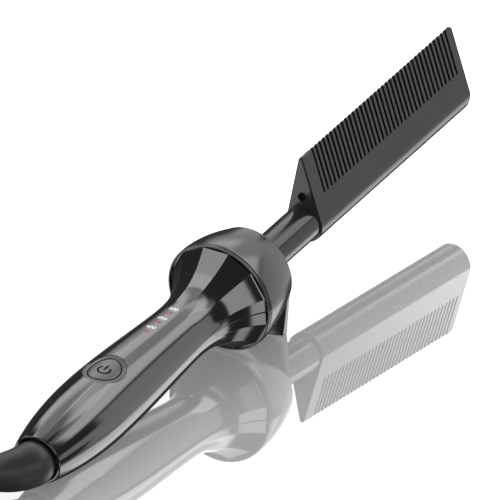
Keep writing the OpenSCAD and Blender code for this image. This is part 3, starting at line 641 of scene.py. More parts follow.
def grip_radius(d):
    """The grip without its flare, at a distance behind the rim."""
    if d >= BELLY_AT:
        length = HANDLE_LEN - BELLY_AT
        return hermite(TAIL_R, BELLY_R, TAIL_SLOPE, 0.0, length, (HANDLE_LEN - d) / length)
    if d >= WAIST_AT:
        length = BELLY_AT - WAIST_AT
        return hermite(BELLY_R, WAIST_R, 0.0, WAIST_SLOPE, length, (BELLY_AT - d) / length)
    return WAIST_R + WAIST_SLOPE * (WAIST_AT - d)


def handle_radius(u):
    """The flare is added to the grip, and opens late, like a trumpet."""
    opened = min(1.0, max(0.0, 1 + u / FLARE_FROM)) ** FLARE_POWER
    return grip_radius(max(-u, 0.0)) + (FLARE_R - grip_radius(0.0)) * opened


def handle_outline(u, angle):
    """Radius of the handle at a place along it, at an angle in degrees."""
    radius = handle_radius(u)
    half = FLAT_ANGLE / 2
    off_middle = (angle + half) % FLAT_ANGLE - half
    flat = FLAT_SHARE * radius * math.cos(math.radians(half)) / math.cos(math.radians(off_middle))
    share = 1 - smooth_step((-u - FLAT_FROM) / (FLAT_TO - FLAT_FROM))
    return radius + share * (flat - radius)


def handle_inside(u):
    return handle_radius(u) * (FLAT_INSIDE if -u < FLAT_TO else 1.0) - SHELL_WALL


def handle_point(u, angle):
    return about_axis(u, handle_outline(u, angle), angle)


for u in (0, -10, -22.4, -60, -88, -128):
    print(f"radius at {u} mm: {handle_radius(u):.2f}")

# %% Two half shells
GROOVE_DEPTH = 0.3
TAIL_OPENING, TAIL_ROUND = 9.0, 0.7
RIM_AT = 1.0


def shell_angles():
    """Angles over half a turn, close together at the flats' corners and at the seam."""
    near_corner = (-11, -7.5, -4, -1.2, -0.35, 0, 0.35, 1.2, 4, 7.5, 11, 15)
    angles = {corner + off for corner in range(15, 180, 30) for off in near_corner}
    return [0.0, 0.45, 0.9] + sorted(a for a in angles if a < 178) + [179.1, 179.55, 180.0]


def seam_dip(angle, half_wide=0.9):
    """How far the surface drops into the groove between the halves."""
    off = min(angle % 180.0, 180.0 - angle % 180.0)
    return GROOVE_DEPTH * (1 - off / half_wide) if off < half_wide else 0.0


def shell_stations():
    """Places along the handle, close together over the flare, up to its rim."""
    return [-127.3 + 1.9 * i for i in range(52)] + [-28 + 0.7 * i for i in range(41)] + [RIM_AT]


def half_shell(name, start):
    """One half of the handle, from its outline and its inside, over half a turn."""
    rings = []
    for angle in shell_angles():
        turn = angle + start
        ring = [(u, handle_outline(u, turn) - seam_dip(angle)) for u in shell_stations()]
        ring += [(RIM_AT, handle_inside(0) + 0.4), (RIM_AT, handle_inside(0))]
        ring += [(u, handle_inside(u)) for u in reversed(shell_stations()[3:-1])]
        ring += [(-124.0, handle_inside(-124.0)), (-124.2, TAIL_OPENING), (-127.5, TAIL_OPENING)]
        tail = handle_outline(-HANDLE_LEN + TAIL_ROUND, turn) - seam_dip(angle)
        ring += [(-127.85, TAIL_OPENING + 0.1), (-128.0, TAIL_OPENING + 0.4)]
        ring += [
            (TAIL_ROUND * (1 - math.cos(a)) - HANDLE_LEN, tail - TAIL_ROUND * (1 - math.sin(a)))
            for a in arc(15, 35, 60)
        ]
        rings.append([about_axis(u, r, turn) for u, r in ring])
    return make_object(name, *skin(rings), sharp_from=20)


upper_shell = half_shell("handle_upper", 0.0)
lower_shell = half_shell("handle_lower", 180.0)
print("half shells:", len(upper_shell.data.polygons), "faces each")

# %% [markdown]
# The upper half has an oval hole for the button's bezel and three small ones for the lamps. The
# lower half has two deep screw holes. Boolean cuts leave long thin faces whose shading shows as
# streaks on gloss, so after the cut every outer corner gets its normal from the outline's rule
# again.

# %% Holes in the shells, and normals from the rule
BUTTON_U, BUTTON_V = -80.9, -0.9
LAMP_US = (-33.6, -41.55, -49.5)
SCREW_US, SEAT_DEPTH = (-97.0, -23.5), 4
BEZEL_HOLE, LAMP_HOLE, SCREW_HOLE = (9.7, 8.1), (1.0, 1.0), (2.6, 2.6)
RULE_FROM, RULE_TO, RULE_END = -126.9, 0.9, 0.6
OFF_SEAM, OFF_RULE, INWARD = 0.012, 0.03, 0.06


def seat_height(u):
    """The height at which a shell screw's head sits, at a place along the handle."""
    return -(handle_radius(u) - SEAT_DEPTH)


def column(name, place, half, low, high, sides):
    """An upright oval column through the handle, used to cut."""
    return make_object(name, *skin([
        [on_table(place[0] + x, place[1] + y, w) for x, y in oval_points(*half, sides)]
        for w in (low, high)
    ]))


def comb_place(point):
    """A table point in metres, back in comb millimetres."""
    x, z = point.x / MM + RIM_BACK, point.z / MM - AXIS_HEIGHT
    return (x * math.cos(TIP) + z * math.sin(TIP), point.y / MM,
            -x * math.sin(TIP) + z * math.cos(TIP))


def rule_normal(u, angle):
    """The outline's own normal at a place, from four close points."""
    along = handle_point(u + 0.05, angle) - handle_point(u - 0.05, angle)
    round_it = handle_point(u, angle + 0.15) - handle_point(u, angle - 0.15)
    return round_it.cross(along).normalized()


def is_on_rule(place):
    """Whether a comb point lies on the outline's rule, clear of the seam's groove."""
    u, v, w = place
    r = math.hypot(v, w)
    off_rule = abs(r - handle_outline(u, math.degrees(math.atan2(w, v))))
    return abs(w) > OFF_SEAM * r and off_rule < OFF_RULE


def give_rule_normals(shell):
    """Outer faces take the rule's normal, except at the groove, the rims and the hole walls."""
    mesh = shell.data
    normals = [Vector(n.vector) for n in mesh.corner_normals]
    outer = 0
    for face in mesh.polygons:
        centre = comb_place(face.center)
        places = [comb_place(mesh.vertices[i].co) for i in face.vertices]
        if not (RULE_FROM < centre[0] < RULE_TO and all(is_on_rule(p) for p in places)):
            continue
        outer += 1
        for k, place in zip(face.loop_indices, places):
            u, v, w = (p + INWARD * (c - p) for p, c in zip(place, centre))
            normals[k] = rule_normal(min(u, RULE_END), math.degrees(math.atan2(w, v)))
    mesh.normals_split_custom_set([tuple(n) for n in normals])
    print(f"{shell.name}: {outer} outer faces take the rule's normals")


cut(
    upper_shell, column("bezel_hole", (BUTTON_U, BUTTON_V), BEZEL_HOLE, 3, 30, 96),
    *[column(f"lamp_hole_{u}", (u, 0.0), LAMP_HOLE, 3, 30, 32) for u in LAMP_US]
)
cut(lower_shell, *[
    column(f"screw_hole_{u}", (u, 0.0), SCREW_HOLE, -30, seat_height(u), 40) for u in SCREW_US
])
for shell in (upper_shell, lower_shell):
    give_rule_normals(shell)
settle(upper_shell, "comb_body", "handle_gloss", "gloss_black", "handle_upper_shell")
settle(lower_shell, "comb_body", "handle_gloss", "gloss_black", "handle_lower_shell")

# %% [markdown]
# ## The bell and its foot
# The bell is a round hood that keeps the hand off the hot neck. It too is two halves, split in
# the same plane as the handle. Its outline bulges a little and runs in to a ledge, where a
# round front plate sits. A closed outline is turned through half a turn for each half, and the
# seam gets the same groove.

# %% Bell covers
BELL_LEN = 24.4
BELL_EDGE = 1.3
BELL_R, BELL_FRONT_R = 23.0, 17.7
BELL_WALL = 2.0
FRONT_ROUND = 0.9


def bell_radius(u):
    """The bell's outside, straight at its rim and then running in towards the front."""
    if u < BELL_EDGE:
        return BELL_R - 0.1 * (1 - u / BELL_EDGE)
    length = BELL_LEN - BELL_EDGE
    return hermite(BELL_R, BELL_FRONT_R, 0.0, -0.4, length, (u - BELL_EDGE) / length)


def bell_outline():
    """The cover's closed outline as (u, radius, 1 where the seam's groove runs)."""
    stations = [1.3] + [1.6 + 21.9 * i / 29 for i in range(30)]
    outline = [(0.0, 22.35, 0), (0.0, 22.6, 1), (0.12, 22.84, 1), (0.35, 22.93, 1),
               (0.75, 22.95, 1), (0.92, 22.88, 1), (1.02, 22.62, 1), (1.22, 22.62, 1),
               (1.34, 22.9, 1)]
    outline += [(u, bell_radius(u), 1) for u in stations[1:]]
    round_from = BELL_LEN - FRONT_ROUND
    front = bell_radius(round_from) - 1.2 * FRONT_ROUND
    outline += [
        (round_from + FRONT_ROUND * math.sin(a), front + 1.2 * FRONT_ROUND * math.cos(a), 1)
        for a in arc(*range(15, 91, 15))
    ]
    outline += [(BELL_LEN, 15.6, 0), (BELL_LEN - 0.15, 15.45, 0), (22.4, 15.45, 0)]
    outline += [(22.4, 14.3, 0), (20.9, 14.3, 0), (20.9, bell_radius(20.9) - BELL_WALL, 0)]
    outline += [(u, bell_radius(u) - BELL_WALL, 0) for u in stations[25:1:-2]]
    outline += [(3.0, 20.9, 0), (3.0, 13.5, 0), (1.0, 13.5, 0), (1.0, 22.2, 0), (0.15, 22.2, 0)]
    return outline


def bell_half(name, start, around=90):
    angles = [180.0 * i / around for i in range(1, around)]
    angles = [0.0, 0.35, 0.7] + angles + [179.3, 179.65, 180.0]
    rings = [
        [about_axis(u, r - seam_dip(angle, 0.7) * grooved, angle + start)
         for u, r, grooved in bell_outline()] for angle in angles
    ]
    return make_object(name, *skin(rings), sharp_from=24)


def box_of(name, corners):
    """A plain block from eight comb points, used to cut."""
    faces = [(0, 1, 3, 2), (4, 6, 7, 5), (0, 4, 5, 1), (2, 3, 7, 6), (0, 2, 6, 4), (1, 5, 7, 3)]
    return make_object(name, [on_table(*c) for c in corners], faces)


bell_upper = bell_half("bell_upper", 0.0)
bell_lower = bell_half("bell_lower", 180.0)
NOTCH_AT = math.radians(113)
NOTCH_OUT = Vector((math.cos(NOTCH_AT), math.sin(NOTCH_AT)))
NOTCH_SIDE = Vector((-math.sin(NOTCH_AT), math.cos(NOTCH_AT)))
cut(bell_upper, box_of("notch", [
    (u, *(NOTCH_OUT * r + NOTCH_SIDE * s))
    for u in (21.0, 22.0) for r in (17.4, 25) for s in (-1.3, 1.3)
]))
settle(bell_upper, "comb_body", "handle_gloss", "bell_black", "bell_cover_upper")

# %% [markdown]
# The foot is a tongue under the bell that lifts the hot blade off the table: flat in front,
# rounded behind. Its outline is drawn once, with small rounds at both thin edges, and carried
# down from inside the bell's wall to the table.

# %% The stand foot
FOOT_HALF, FOOT_ROOT_HALF = 13.9, 16.6
FOOT_DEPTH, FOOT_EDGE = 5.5, 1.6
FOOT_RISE = FOOT_DEPTH - FOOT_EDGE
FOOT_BACK_R = (FOOT_ROOT_HALF ** 2 + FOOT_RISE ** 2) / (2 * FOOT_RISE)
FOOT_ROOT_W, FOOT_W = -5.8, -25.2985


def foot_half_width(w):
    """The foot narrows from the bell to the table."""
    share = (FOOT_ROOT_W - w) / (FOOT_ROOT_W - FOOT_W)
    return FOOT_ROOT_HALF + (FOOT_HALF - FOOT_ROOT_HALF) * share


def foot_outline(w, inset=0.0):
    """The tongue's outline as (u, v) at a height, pulled in by an inset."""
    half, middle = foot_half_width(w) - inset, BELL_LEN - FOOT_DEPTH + FOOT_BACK_R
    radius, front, r = FOOT_BACK_R - inset, BELL_LEN - inset, 0.35

    def back(v):
        return middle - math.sqrt(radius ** 2 - v ** 2)

    sides = [(half - r) * (2 * i / 26 - 1) for i in range(27)]
    curve = [(back(v), v) for v in sides]
    corner = back(half - r)
    side = [(corner + r * (1 - math.cos(a)) + 0.05, half - r + r * math.sin(a))
            for a in arc(30, 60, 90)]
    side += [(front - r * (1 - math.sin(a)), half - r * (1 - math.cos(a)))
             for a in arc(0, 30, 60, 90)]
    flat = [(front, half - r - 0.3), (front, 0), (front, -half + r + 0.3)]
    return curve + side + flat + [(u, -v) for u, v in reversed(side)]


def foot_bottom(u):
    """The table's height under the comb, in comb millimetres."""
    return -(AXIS_HEIGHT + u * math.sin(TIP)) / math.cos(TIP)


def foot_rings():
    rings = []
    for rise, inset in ((0.0, 0.35), (0.12, 0.1), (0.35, 0.0)):
        around = foot_outline(FOOT_W, inset)
        rings.append([on_table(u, v, foot_bottom(u) + rise) for u, v in around])
    outlines = [foot_outline(FOOT_W), foot_outline(FOOT_ROOT_W)]
    for share in (0.15, 0.3, 0.5, 0.7, 0.85, 0.93, 1.0):
        ring = []
        for (u0, v0), (u1, v1) in zip(*outlines):
            low = foot_bottom(u0) + 0.35
            inside = bell_radius(min(u1, BELL_LEN - 1.2)) - 0.9
            top = -math.sqrt(inside ** 2 - min(abs(v1), inside - 0.05) ** 2)
            w = low + (top - low) * share
            t = (w - FOOT_W) / (FOOT_ROOT_W - FOOT_W)
            ring.append(on_table(min(u0 + (u1 - u0) * t, BELL_LEN - 0.02), v0 + (v1 - v0) * t, w))
        rings.append(ring)
    return rings


add_to(bell_lower, make_object("foot", *skin(foot_rings()), sharp_from=24))
settle(bell_lower, "comb_body", "handle_gloss", "bell_black", "bell_cover_lower")

# %% [markdown]
# ## The front plate and the neck
# The plate closes the bell round the neck, and the neck is a steel tube, painted dark, whose
# end carries the blade. Both are plain turned parts, with their corners broken by a small
# round, because a corner with no round at all catches no light.

# %% Front plate and neck tube
front_plate = make_object("front_plate", *turned([
    (22.4, 7.4), (22.4, 15.4), (23.75, 15.4), (23.95, 15.3), (24.0, 15.1),
    (24.0, 7.7), (23.95, 7.5), (23.8, 7.4),
]))
settle(front_plate, "comb_body", "plate_satin", "plate_black", "bell_front_plate")

neck = make_object("neck", *turned([
    (18.9, 5.65), (18.9, 15.8), (20.9, 15.8), (20.9, 14.25), (22.38, 14.25), (22.38, 7.35),
    (23.0, 7.35), (30.0, 7.35), (59.8, 7.35), (60.35, 7.33), (60.6, 7.2), (60.7, 7.0), (60.7, 5.65),
], steps=128))
settle(neck, "comb_body", "neck_metal", "neck_black", "neck_tube")

# %% [markdown]
# ## Things that repeat
# A comb is the same tooth over and over, the lamps are one window three times, and the shell's
# screws are one screw twice. Geometry Nodes fit this exactly: one tree takes a finished piece,
# a count and a step, and sets the copies along a line, with a body to join them to. It is built
# once here, and each use sets its own inputs.

# %% A tree that repeats a piece along a line
def build_repeat():
    tree = bpy.data.node_groups.new("repeat_along_a_line", "GeometryNodeTree")
    for label, kind, way in (
        ("Body", "NodeSocketGeometry", "INPUT"), ("Piece", "NodeSocketObject", "INPUT"),
        ("Count", "NodeSocketInt", "INPUT"), ("Step", "NodeSocketVector", "INPUT"),
        ("Finish", "NodeSocketMaterial", "INPUT"), ("Body", "NodeSocketGeometry", "OUTPUT"),
    ):
        tree.interface.new_socket(label, in_out=way, socket_type=kind)
    given, made = tree.nodes.new("NodeGroupInput"), tree.nodes.new("NodeGroupOutput")
    line, info, copies, real, joined, painted = (
        tree.nodes.new(f"GeometryNode{kind}") for kind in (
            "MeshLine", "ObjectInfo", "InstanceOnPoints", "RealizeInstances", "JoinGeometry",
            "SetMaterial",
        )
    )
    line.mode = "OFFSET"
    join(
        tree, (given.outputs["Count"], line.inputs["Count"]),
        (given.outputs["Step"], line.inputs["Offset"]),
        (given.outputs["Piece"], info.inputs["Object"]),
        (line.outputs["Mesh"], copies.inputs["Points"]),
        (info.outputs["Geometry"], copies.inputs["Instance"]),
        (copies.outputs["Instances"], real.inputs["Geometry"]),
        (given.outputs["Body"], joined.inputs["Geometry"]),
        (real.outputs["Geometry"], joined.inputs["Geometry"]),
        (joined.outputs["Geometry"], painted.inputs["Geometry"]),
        (given.outputs["Finish"], painted.inputs["Material"]),
        (painted.outputs["Geometry"], made.inputs["Body"]),
    )
    return tree


REPEAT = build_repeat()


def repeat(body, piece, count, step, finish):
    """Sets copies of a piece along a line, joins them to a body and removes the piece."""
    modifier = body.modifiers.new("repeat", "NODES")
    modifier.node_group = REPEAT
    values = {
        "Piece": piece, "Count": count, "Step": list(step * MM), "Finish": FINISHES[finish]
    }
    for item in REPEAT.interface.items_tree:
        if item.in_out == "INPUT" and item.name in values:
            modifier[item.identifier] = values[item.name]
    body.update_tag()
    take_modifiers(body)
    bpy.data.objects.remove(piece)


def empty_object(name):
    return new_object(name, bpy.data.meshes.new(name))


print("the tree that repeats has", len(REPEAT.nodes), "nodes")

# %% [markdown]
# ## The blade
# The blade is cast aluminium with a dark coating: a round spine with the heater in it, and two
# flat sides that lean together to thin tips. The solid bar is made first, with rounded ends.
# Then the space of the teeth is cut away in one go, and 36 equal teeth are set back into it.

# %% The blade's section and its solid bar
SPINE_R = 7.95
SPINE_DROP = 0.65
HALF_TIP = 0.65
COMB_HEIGHT = 28.9
BLADE_START, BLADE_END = 61.35, 169.2
SLOT_BOTTOM = 10.9
FIRST_SLOT, SLOT_PITCH, SLOT_WIDTH, SLOTS = 68.612, 2.666, 1.0, 37
ROUND_STEPS = (0, 25, 50, 72, 90)


def teardrop(shrink=0.0, top=COMB_HEIGHT, spine_shrink=0.0):
    """The blade's section as (v, w) points, pulled in by a shrink, up to a top."""
    half, high, radius = HALF_TIP - 0.4 * shrink, COMB_HEIGHT - shrink, SPINE_R - shrink
    reach = math.hypot(half, high + SPINE_DROP)
    lean = math.atan2(high + SPINE_DROP, half) - math.acos(radius / reach)
    side = Vector((radius * math.cos(lean), radius * math.sin(lean) - SPINE_DROP))
    tip = Vector((half, high))
    high = min(high, top)
    upper = side + (tip - side) * ((high - side.y) / (tip.y - side.y))
    flank = [side + (upper - side) * t for t in (0.02, 0.5, 0.96, 0.985)]
    low = []
    for i in range(45):
        share = i / 44
        angle = lean - (math.pi + 2 * lean) * share
        r = radius - spine_shrink * smooth_step(min(share, 1 - share) * 4)
        low.append(Vector((r * math.cos(angle), r * math.sin(angle) - SPINE_DROP)))
    crown = [Vector((upper.x * 0.8, high - 0.05)), Vector((upper.x * 0.4, high))]
    left = [Vector((-p.x, p.y)) for p in flank + crown]
    return crown[::-1] + flank[::-1] + low + left


def round_drop(radius, gap):
    """How far a round of a radius has dropped, at a gap from the end."""
    return radius - math.sqrt(max(0.0, radius ** 2 - (radius - gap) ** 2)) if gap < radius else 0.0


def bar_rings(start, end, edges, corners, spine=(0.0, 0.0), shrink=0.0):
    """Sections along a bar, with its own edge, tip corner and spine round at either end."""
    places = {
        round(radius * (1 - math.sin(math.radians(a))), 4)
        for radius in (*edges, *corners, *spine) for a in ROUND_STEPS
    }
    stations = sorted({start + p for p in places} | {end - p for p in places})
    rings = []
    for u in stations:
        near, gap = (0, u - start) if u - start < end - u else (1, end - u)
        inset = round_drop(edges[near], gap)
        top = COMB_HEIGHT - shrink - round_drop(corners[near], gap)
        below = round_drop(spine[near], gap) if spine[near] else 0.0
        rings.append([on_table(u, v, w) for v, w in teardrop(shrink + inset, top, below)])
    return rings


blade_rings = bar_rings(BLADE_START, BLADE_END, (0.15, 0.2), (0.35, 1.1), (0.1, 1.2))
blade = make_object("blade", *skin(blade_rings), sharp_from=28)
heater_bore = [(60.9, 0.0), (60.9, 5.0), (143.2, 5.0), (143.2, 0.0)]
teeth_from = FIRST_SLOT - SLOT_WIDTH / 2
teeth_to = FIRST_SLOT + (SLOTS - 1) * SLOT_PITCH + SLOT_WIDTH / 2
cut(
    blade,
    box_of("teeth_space", [
        (u, v, w) for u in (teeth_from, teeth_to) for v in (-12, 12) for w in (SLOT_BOTTOM, 40)
    ]),
    make_object("heater_bore", *turned(heater_bore, 64)),
)
print("bar:", len(blade.data.polygons), "faces")

# %% One tooth, repeated
TOOTH_WIDTH = SLOT_PITCH - SLOT_WIDTH - 0.1
SIDE_V, SIDE_W = 7.702, 1.319
FLANK_LEAN = math.atan2(SIDE_V - HALF_TIP, COMB_HEIGHT - SIDE_W)


def flank_at(w):
    """Half the blade's width at a height."""
    return SIDE_V + (w - SIDE_W) / (COMB_HEIGHT - SIDE_W) * (HALF_TIP - SIDE_V)


def tooth_ring(u, w, half_long, half_wide, chamfer=0.1):
    a, b, c = half_long, half_wide, min(chamfer, 0.45 * half_wide)
    corners = [(a - c, b), (a, b - c), (a, -b + c), (a - c, -b), (-a + c, -b), (-a, -b + c),
               (-a, b - c), (-a + c, b)]
    return [on_table(u + x, y, w) for x, y in corners]


tooth_rows = [(SLOT_BOTTOM - 0.4, 0, 0.2), (SLOT_BOTTOM, 0, 0), (26.0, 0.0, 0), (28.2, 0.02, 0.0),
              (28.7, 0.1, 0.06), (28.86, 0.2, 0.15), (28.9, 0.3, 0.26)]
first_tooth = FIRST_SLOT + SLOT_PITCH / 2
tooth = make_object("tooth", *skin([
    tooth_ring(first_tooth, w, TOOTH_WIDTH / 2 - in_u, flank_at(w) - in_v)
    for w, in_u, in_v in tooth_rows
]), sharp_from=50)
repeat(blade, tooth, SLOTS - 1, comb_direction(SLOT_PITCH, 0, 0), "blade_coating")
along, upwards = comb_direction(1, 0, 0), comb_direction(0, 0, 1)
flat_sides = [-along, along] + [
    comb_direction(0, side * math.cos(FLANK_LEAN), math.sin(FLANK_LEAN)) for side in (-1, 1)
]
keep_flat(blade, *flat_sides)
settle(blade, "comb_body", "blade_coat", "blade_coating", "comb_blade")

# %% [markdown]
# The shade deep in the narrow slots is painted: the walls and the floors of the slots get a near
# black of painted shade, darker than the coated sides.

# %% The walls of the slots
CLOSE = 0.1 * MM
# painted shade: the slots' walls and floors take the near black that stands for their shadow
blade.data.materials.append(FINISHES["painted_shade_black"])
slots_from, slots_long = on_table(teeth_from, 0, SLOT_BOTTOM), (teeth_to - teeth_from) * MM
for face in blade.data.polygons:
    place = face.center - slots_from
    between = -CLOSE < place.dot(along) < slots_long + CLOSE
    slot_wall = abs(face.normal.dot(along)) > 0.95
    slot_floor = face.normal.dot(upwards) > 0.9 and abs(place.dot(upwards)) < CLOSE
    if between and (slot_wall or slot_floor):
        face.material_index = 1
print(sum(face.material_index for face in blade.data.polygons), "faces in the slots")

# %% [markdown]
# A thin cap closes the near end of the blade, held by one small socket screw above the neck. Its
# face is polished, and its rim is painted near black as painted shade, which draws the dark line
# of the joint round it. The screw's head takes the same painted shade, so its socket shows dark.

# %% The end cap and its screw
cap_rings = bar_rings(60.7, 61.4, (0.1, 0.05), (0.25, 0.1), shrink=0.1)
cap = make_object("end_cap", *skin(cap_rings), sharp_from=28)
cap_bore = [(60.0, 0.0), (60.0, 5.0), (63.0, 5.0), (63.0, 0.0)]
cut(cap, make_object("cap_bore", *turned(cap_bore, 64)))
keep_flat(cap, *flat_sides)
settle(cap, "comb_body", "blade_coat", "cap_black", "blade_end_cap")
# painted shade: the cap's rim takes the near black, for the dark line of the joint
cap.data.materials.append(FINISHES["painted_shade_black"])
for face in cap.data.polygons:
    face.material_index = 0 if abs(face.normal.dot(along)) > 0.8 else 1

CAP_SCREW = (60.7, 0.0, 11.6)
screw_profile = [
    (6.0, 0.0), (6.0, 0.8), (0.0, 0.8), (0.0, 1.7), (-0.45, 1.75), (-0.62, 1.66), (-0.7, 1.45),
    (-0.7, 0.9), (-0.66, 0.82), (-0.35, 0.8), (-0.35, 0.0),
]
cap_screw = make_object("cap_screw", *turned(
    [(CAP_SCREW[0] + s, r) for s, r in screw_profile], 32, CAP_SCREW[1:]
))
# painted shade: the screw's head is near black, for the shade in its socket
settle(cap_screw, "comb_body", "dark_screw", "painted_shade_black", "end_cap_screw")

# %% [markdown]
# ## The button and its bezel
# One thumb button turns the comb on and steps through the heats. It is an oval cap that follows
# the handle's curve half a millimetre below its surface, inside a bezel that dips towards it.
# Both are made of oval rings laid on the handle's own rule, so they fit it at every point.

# %% The button and the bezel
BUTTON_HALF = (7.5, 5.9)
BUTTON_DROP = 0.5


def over_handle(u, v, rise=0.0):
    """The point over (u, v) on the round handle, at a rise above its surface."""
    radius = handle_radius(u) + rise
    return on_table(u, v, math.sqrt(radius ** 2 - v ** 2))


def oval(half_long, half_wide):
    """An oval about the button's middle, as (u, v)."""
    return [(BUTTON_U + x, BUTTON_V + y) for x, y in oval_points(half_long, half_wide, 96)]


def button_rings():
    long, wide = BUTTON_HALF
    rings = []
    for grown, w in ((-3.35, 7.06), (-3.35, 9.515), (1.05, 9.515), (1.05, 10.515), (0.0, 10.52)):
        rings.append([on_table(u, v, w) for u, v in oval(long + grown, wide + grown)])
    for inset, drop in ((0.0, 0.42), (0.03, 0.24), (0.12, 0.1), (0.28, 0.03), (0.5, 0.0)):
        around = oval(long - inset, wide - inset)
        rings.append([over_handle(u, v, -BUTTON_DROP - drop) for u, v in around])
    for share in (0.85, 0.7, 0.5, 0.3, 0.12, 0.0):
        dish = 0.12 * (1 - share ** 2)
        around = oval((long - 0.5) * share, (wide - 0.5) * share)
        rings.append([over_handle(u, v, -BUTTON_DROP - dish) for u, v in around])
    return rings


button = make_object("button", *skin(button_rings(), last_cap=False), sharp_from=40)
settle(button, "power_button", "button_gloss", "button_black", "power_button")

bezel_rows = [(2.12, None), (2.12, -0.55), (2.1, -0.3), (2.02, -0.19), (1.88, -0.15), (1.7, -0.17),
              (0.75, -0.46), (0.5, -0.54), (0.4, -0.62), (0.36, -0.85), (0.35, -1.3), (0.35, None)]
bezel_rings = []
for grown, drop in bezel_rows:
    outline = oval(BUTTON_HALF[0] + grown, BUTTON_HALF[1] + grown)
    bezel_rings.append([
        on_table(u, v, 10.62) if drop is None else over_handle(u, v, drop) for u, v in outline
    ])
bezel = make_object(
    "bezel", *skin(bezel_rings + bezel_rings[:1], first_cap=False, last_cap=False), sharp_from=40
)
settle(bezel, "comb_body", "bezel_gloss", "bezel_black", "button_bezel")

# %% [markdown]
# The button carries the usual power symbol, a broken ring with a bar in the gap. It is inlaid
# as a shallow raised line, thin enough to ride on the button's curve.

# %% The power symbol
def ribbon(name, line, width, lift):
    """A thin strip along (u, v) points on the button's top."""
    rings = []
    for i, (u, v) in enumerate(line):
        before, after = line[max(i - 1, 0)], line[min(i + 1, len(line) - 1)]
        along = Vector((after[0] - before[0], after[1] - before[1])).normalized()
        side = Vector((-along.y, along.x)) * width / 2
        left, right_side = (u + side.x, v + side.y), (u - side.x, v - side.y)
        rings.append([
            over_handle(*left, -0.72), over_handle(*right_side, -0.72),
            over_handle(*right_side, lift), over_handle(*left, lift),
        ])
    return make_object(name, *skin(rings))


SYMBOL_U, SYMBOL_V, SYMBOL_R, SYMBOL_LIFT = BUTTON_U - 0.5, BUTTON_V - 0.25, 2.4, -0.55
ring_line = [
    (SYMBOL_U + SYMBOL_R * math.cos(a), SYMBOL_V + SYMBOL_R * math.sin(a))
    for a in arc(*range(40, 319, 6))
]
symbol_ring = ribbon("power_symbol", ring_line, 0.72, SYMBOL_LIFT)
bar_line = [(SYMBOL_U + 0.35 * i, SYMBOL_V) for i in range(10)]
add_to(symbol_ring, ribbon("symbol_bar", bar_line, 0.68, SYMBOL_LIFT))
settle(symbol_ring, "power_button", "button_gloss", "symbol_black")

# %% [markdown]
# ## Lamps and their numbers
# Three red windows show the heat, and beside each stands its number in degrees. The windows
# are one light pipe set three times. The numbers are ordinary text, made a mesh and then laid
# on the curve point by point. Their faces are sorted, so that every run makes the same mesh.

# %% Lamp windows
LAMP_STEP = (-7.95, 0.0, 0.505)

lens_top = handle_radius(LAMP_US[0]) + 0.1
lens_rows = [
    (0.95, 6.56 - lens_top), (0.95, -0.2), (0.9, -0.08), (0.76, -0.01), (0.62, 0.0), (0.5, -0.06),
    (0.42, -0.16), (0.3, -0.18), (0.0, -0.18),
]
lens_rings = upright_rings(LAMP_US[0], 0.0, [(r, lens_top + w) for r, w in lens_rows], 32)
lens = make_object("lens", *skin(lens_rings, last_cap=False), sharp_from=50)
lenses = empty_object("lamp_windows")
repeat(lenses, lens, len(LAMP_US), comb_direction(*LAMP_STEP), "lamp_window")
settle(lenses, "comb_body", "lens_red", "lamp_window", "indicator_lenses")

# %% Heat numbers
PRINT_TOP, PRINT_ROOT = 0.035, -0.08
NUMBER_SIZE, NUMBER_BESIDE, NUMBER_V = 2.7, 3.3, 0.4


def text_mesh(words, size):
    """The flat outline of some text, as a mesh centred on its own middle."""
    curve = bpy.data.curves.new("text", "FONT")
    curve.body, curve.size = words, size
    curve.align_x, curve.align_y = "CENTER", "CENTER"
    curve.offset = 0.02 * size
    holder = new_object("text", curve)
    mesh = evaluated_mesh(holder)
    bpy.data.objects.remove(holder)
    return mesh


def print_on_handle(name, words, size, u, v):
    """Text that reads along -v with its tops towards the blade, as a film on the surface."""
    bm = bmesh.new()
    bm.from_mesh(text_mesh(words, size))
    bmesh.ops.triangulate(bm, faces=bm.faces)
    solid = bmesh.ops.extrude_face_region(bm, geom=bm.faces[:] + bm.edges[:] + bm.verts[:])
    raised = {g for g in solid["geom"] if isinstance(g, bmesh.types.BMVert)}
    for vert in bm.verts:
        rise = PRINT_TOP if vert in raised else PRINT_ROOT
        vert.co = over_handle(u + vert.co.y, v - vert.co.x, rise)
    for i, face in enumerate(sorted(bm.faces, key=lambda f: tuple(f.calc_center_median()))):
        face.index = i
    bm.faces.sort()
    return object_from(bm, name, bpy.data.meshes.new(name))


for words, u in zip(("500", "450", "400"), LAMP_US):
    number = print_on_handle(f"number_{words}", words, NUMBER_SIZE, u + NUMBER_BESIDE, NUMBER_V)
    settle(number, "comb_body", "switch_white", "printed_white")

# %% [markdown]
# ## Screws under the handle
# Two countersunk crosshead screws hold the shells together from below. The head is made once
# with its cross cut in, and repeated along the line between the two seats.

# %% Shell screws
def screw_head(u):
    """A crosshead screw pointing up into the handle, from its seat at a place."""
    seat = seat_height(u)
    rows = [(0.0, seat + 12), (1.3, seat + 12), (1.3, seat), (2.4, seat), (2.4, seat - 1.0),
            (2.25, seat - 1.35), (1.9, seat - 1.55), (1.2, seat - 1.6), (0.0, seat - 1.6)]
    rings = upright_rings(u, 0.0, rows, 40)
    screw = make_object("screw", *skin(rings, first_cap=False, last_cap=False))
    bars = [
        box_of("cross", [
            (u + x, y, w) for x in (-a, a) for y in (-b, b) for w in (seat - 1.7, seat - 0.7)
        ]) for a, b in ((1.3, 0.35), (0.35, 1.3))
    ]
    return cut(screw, *bars)


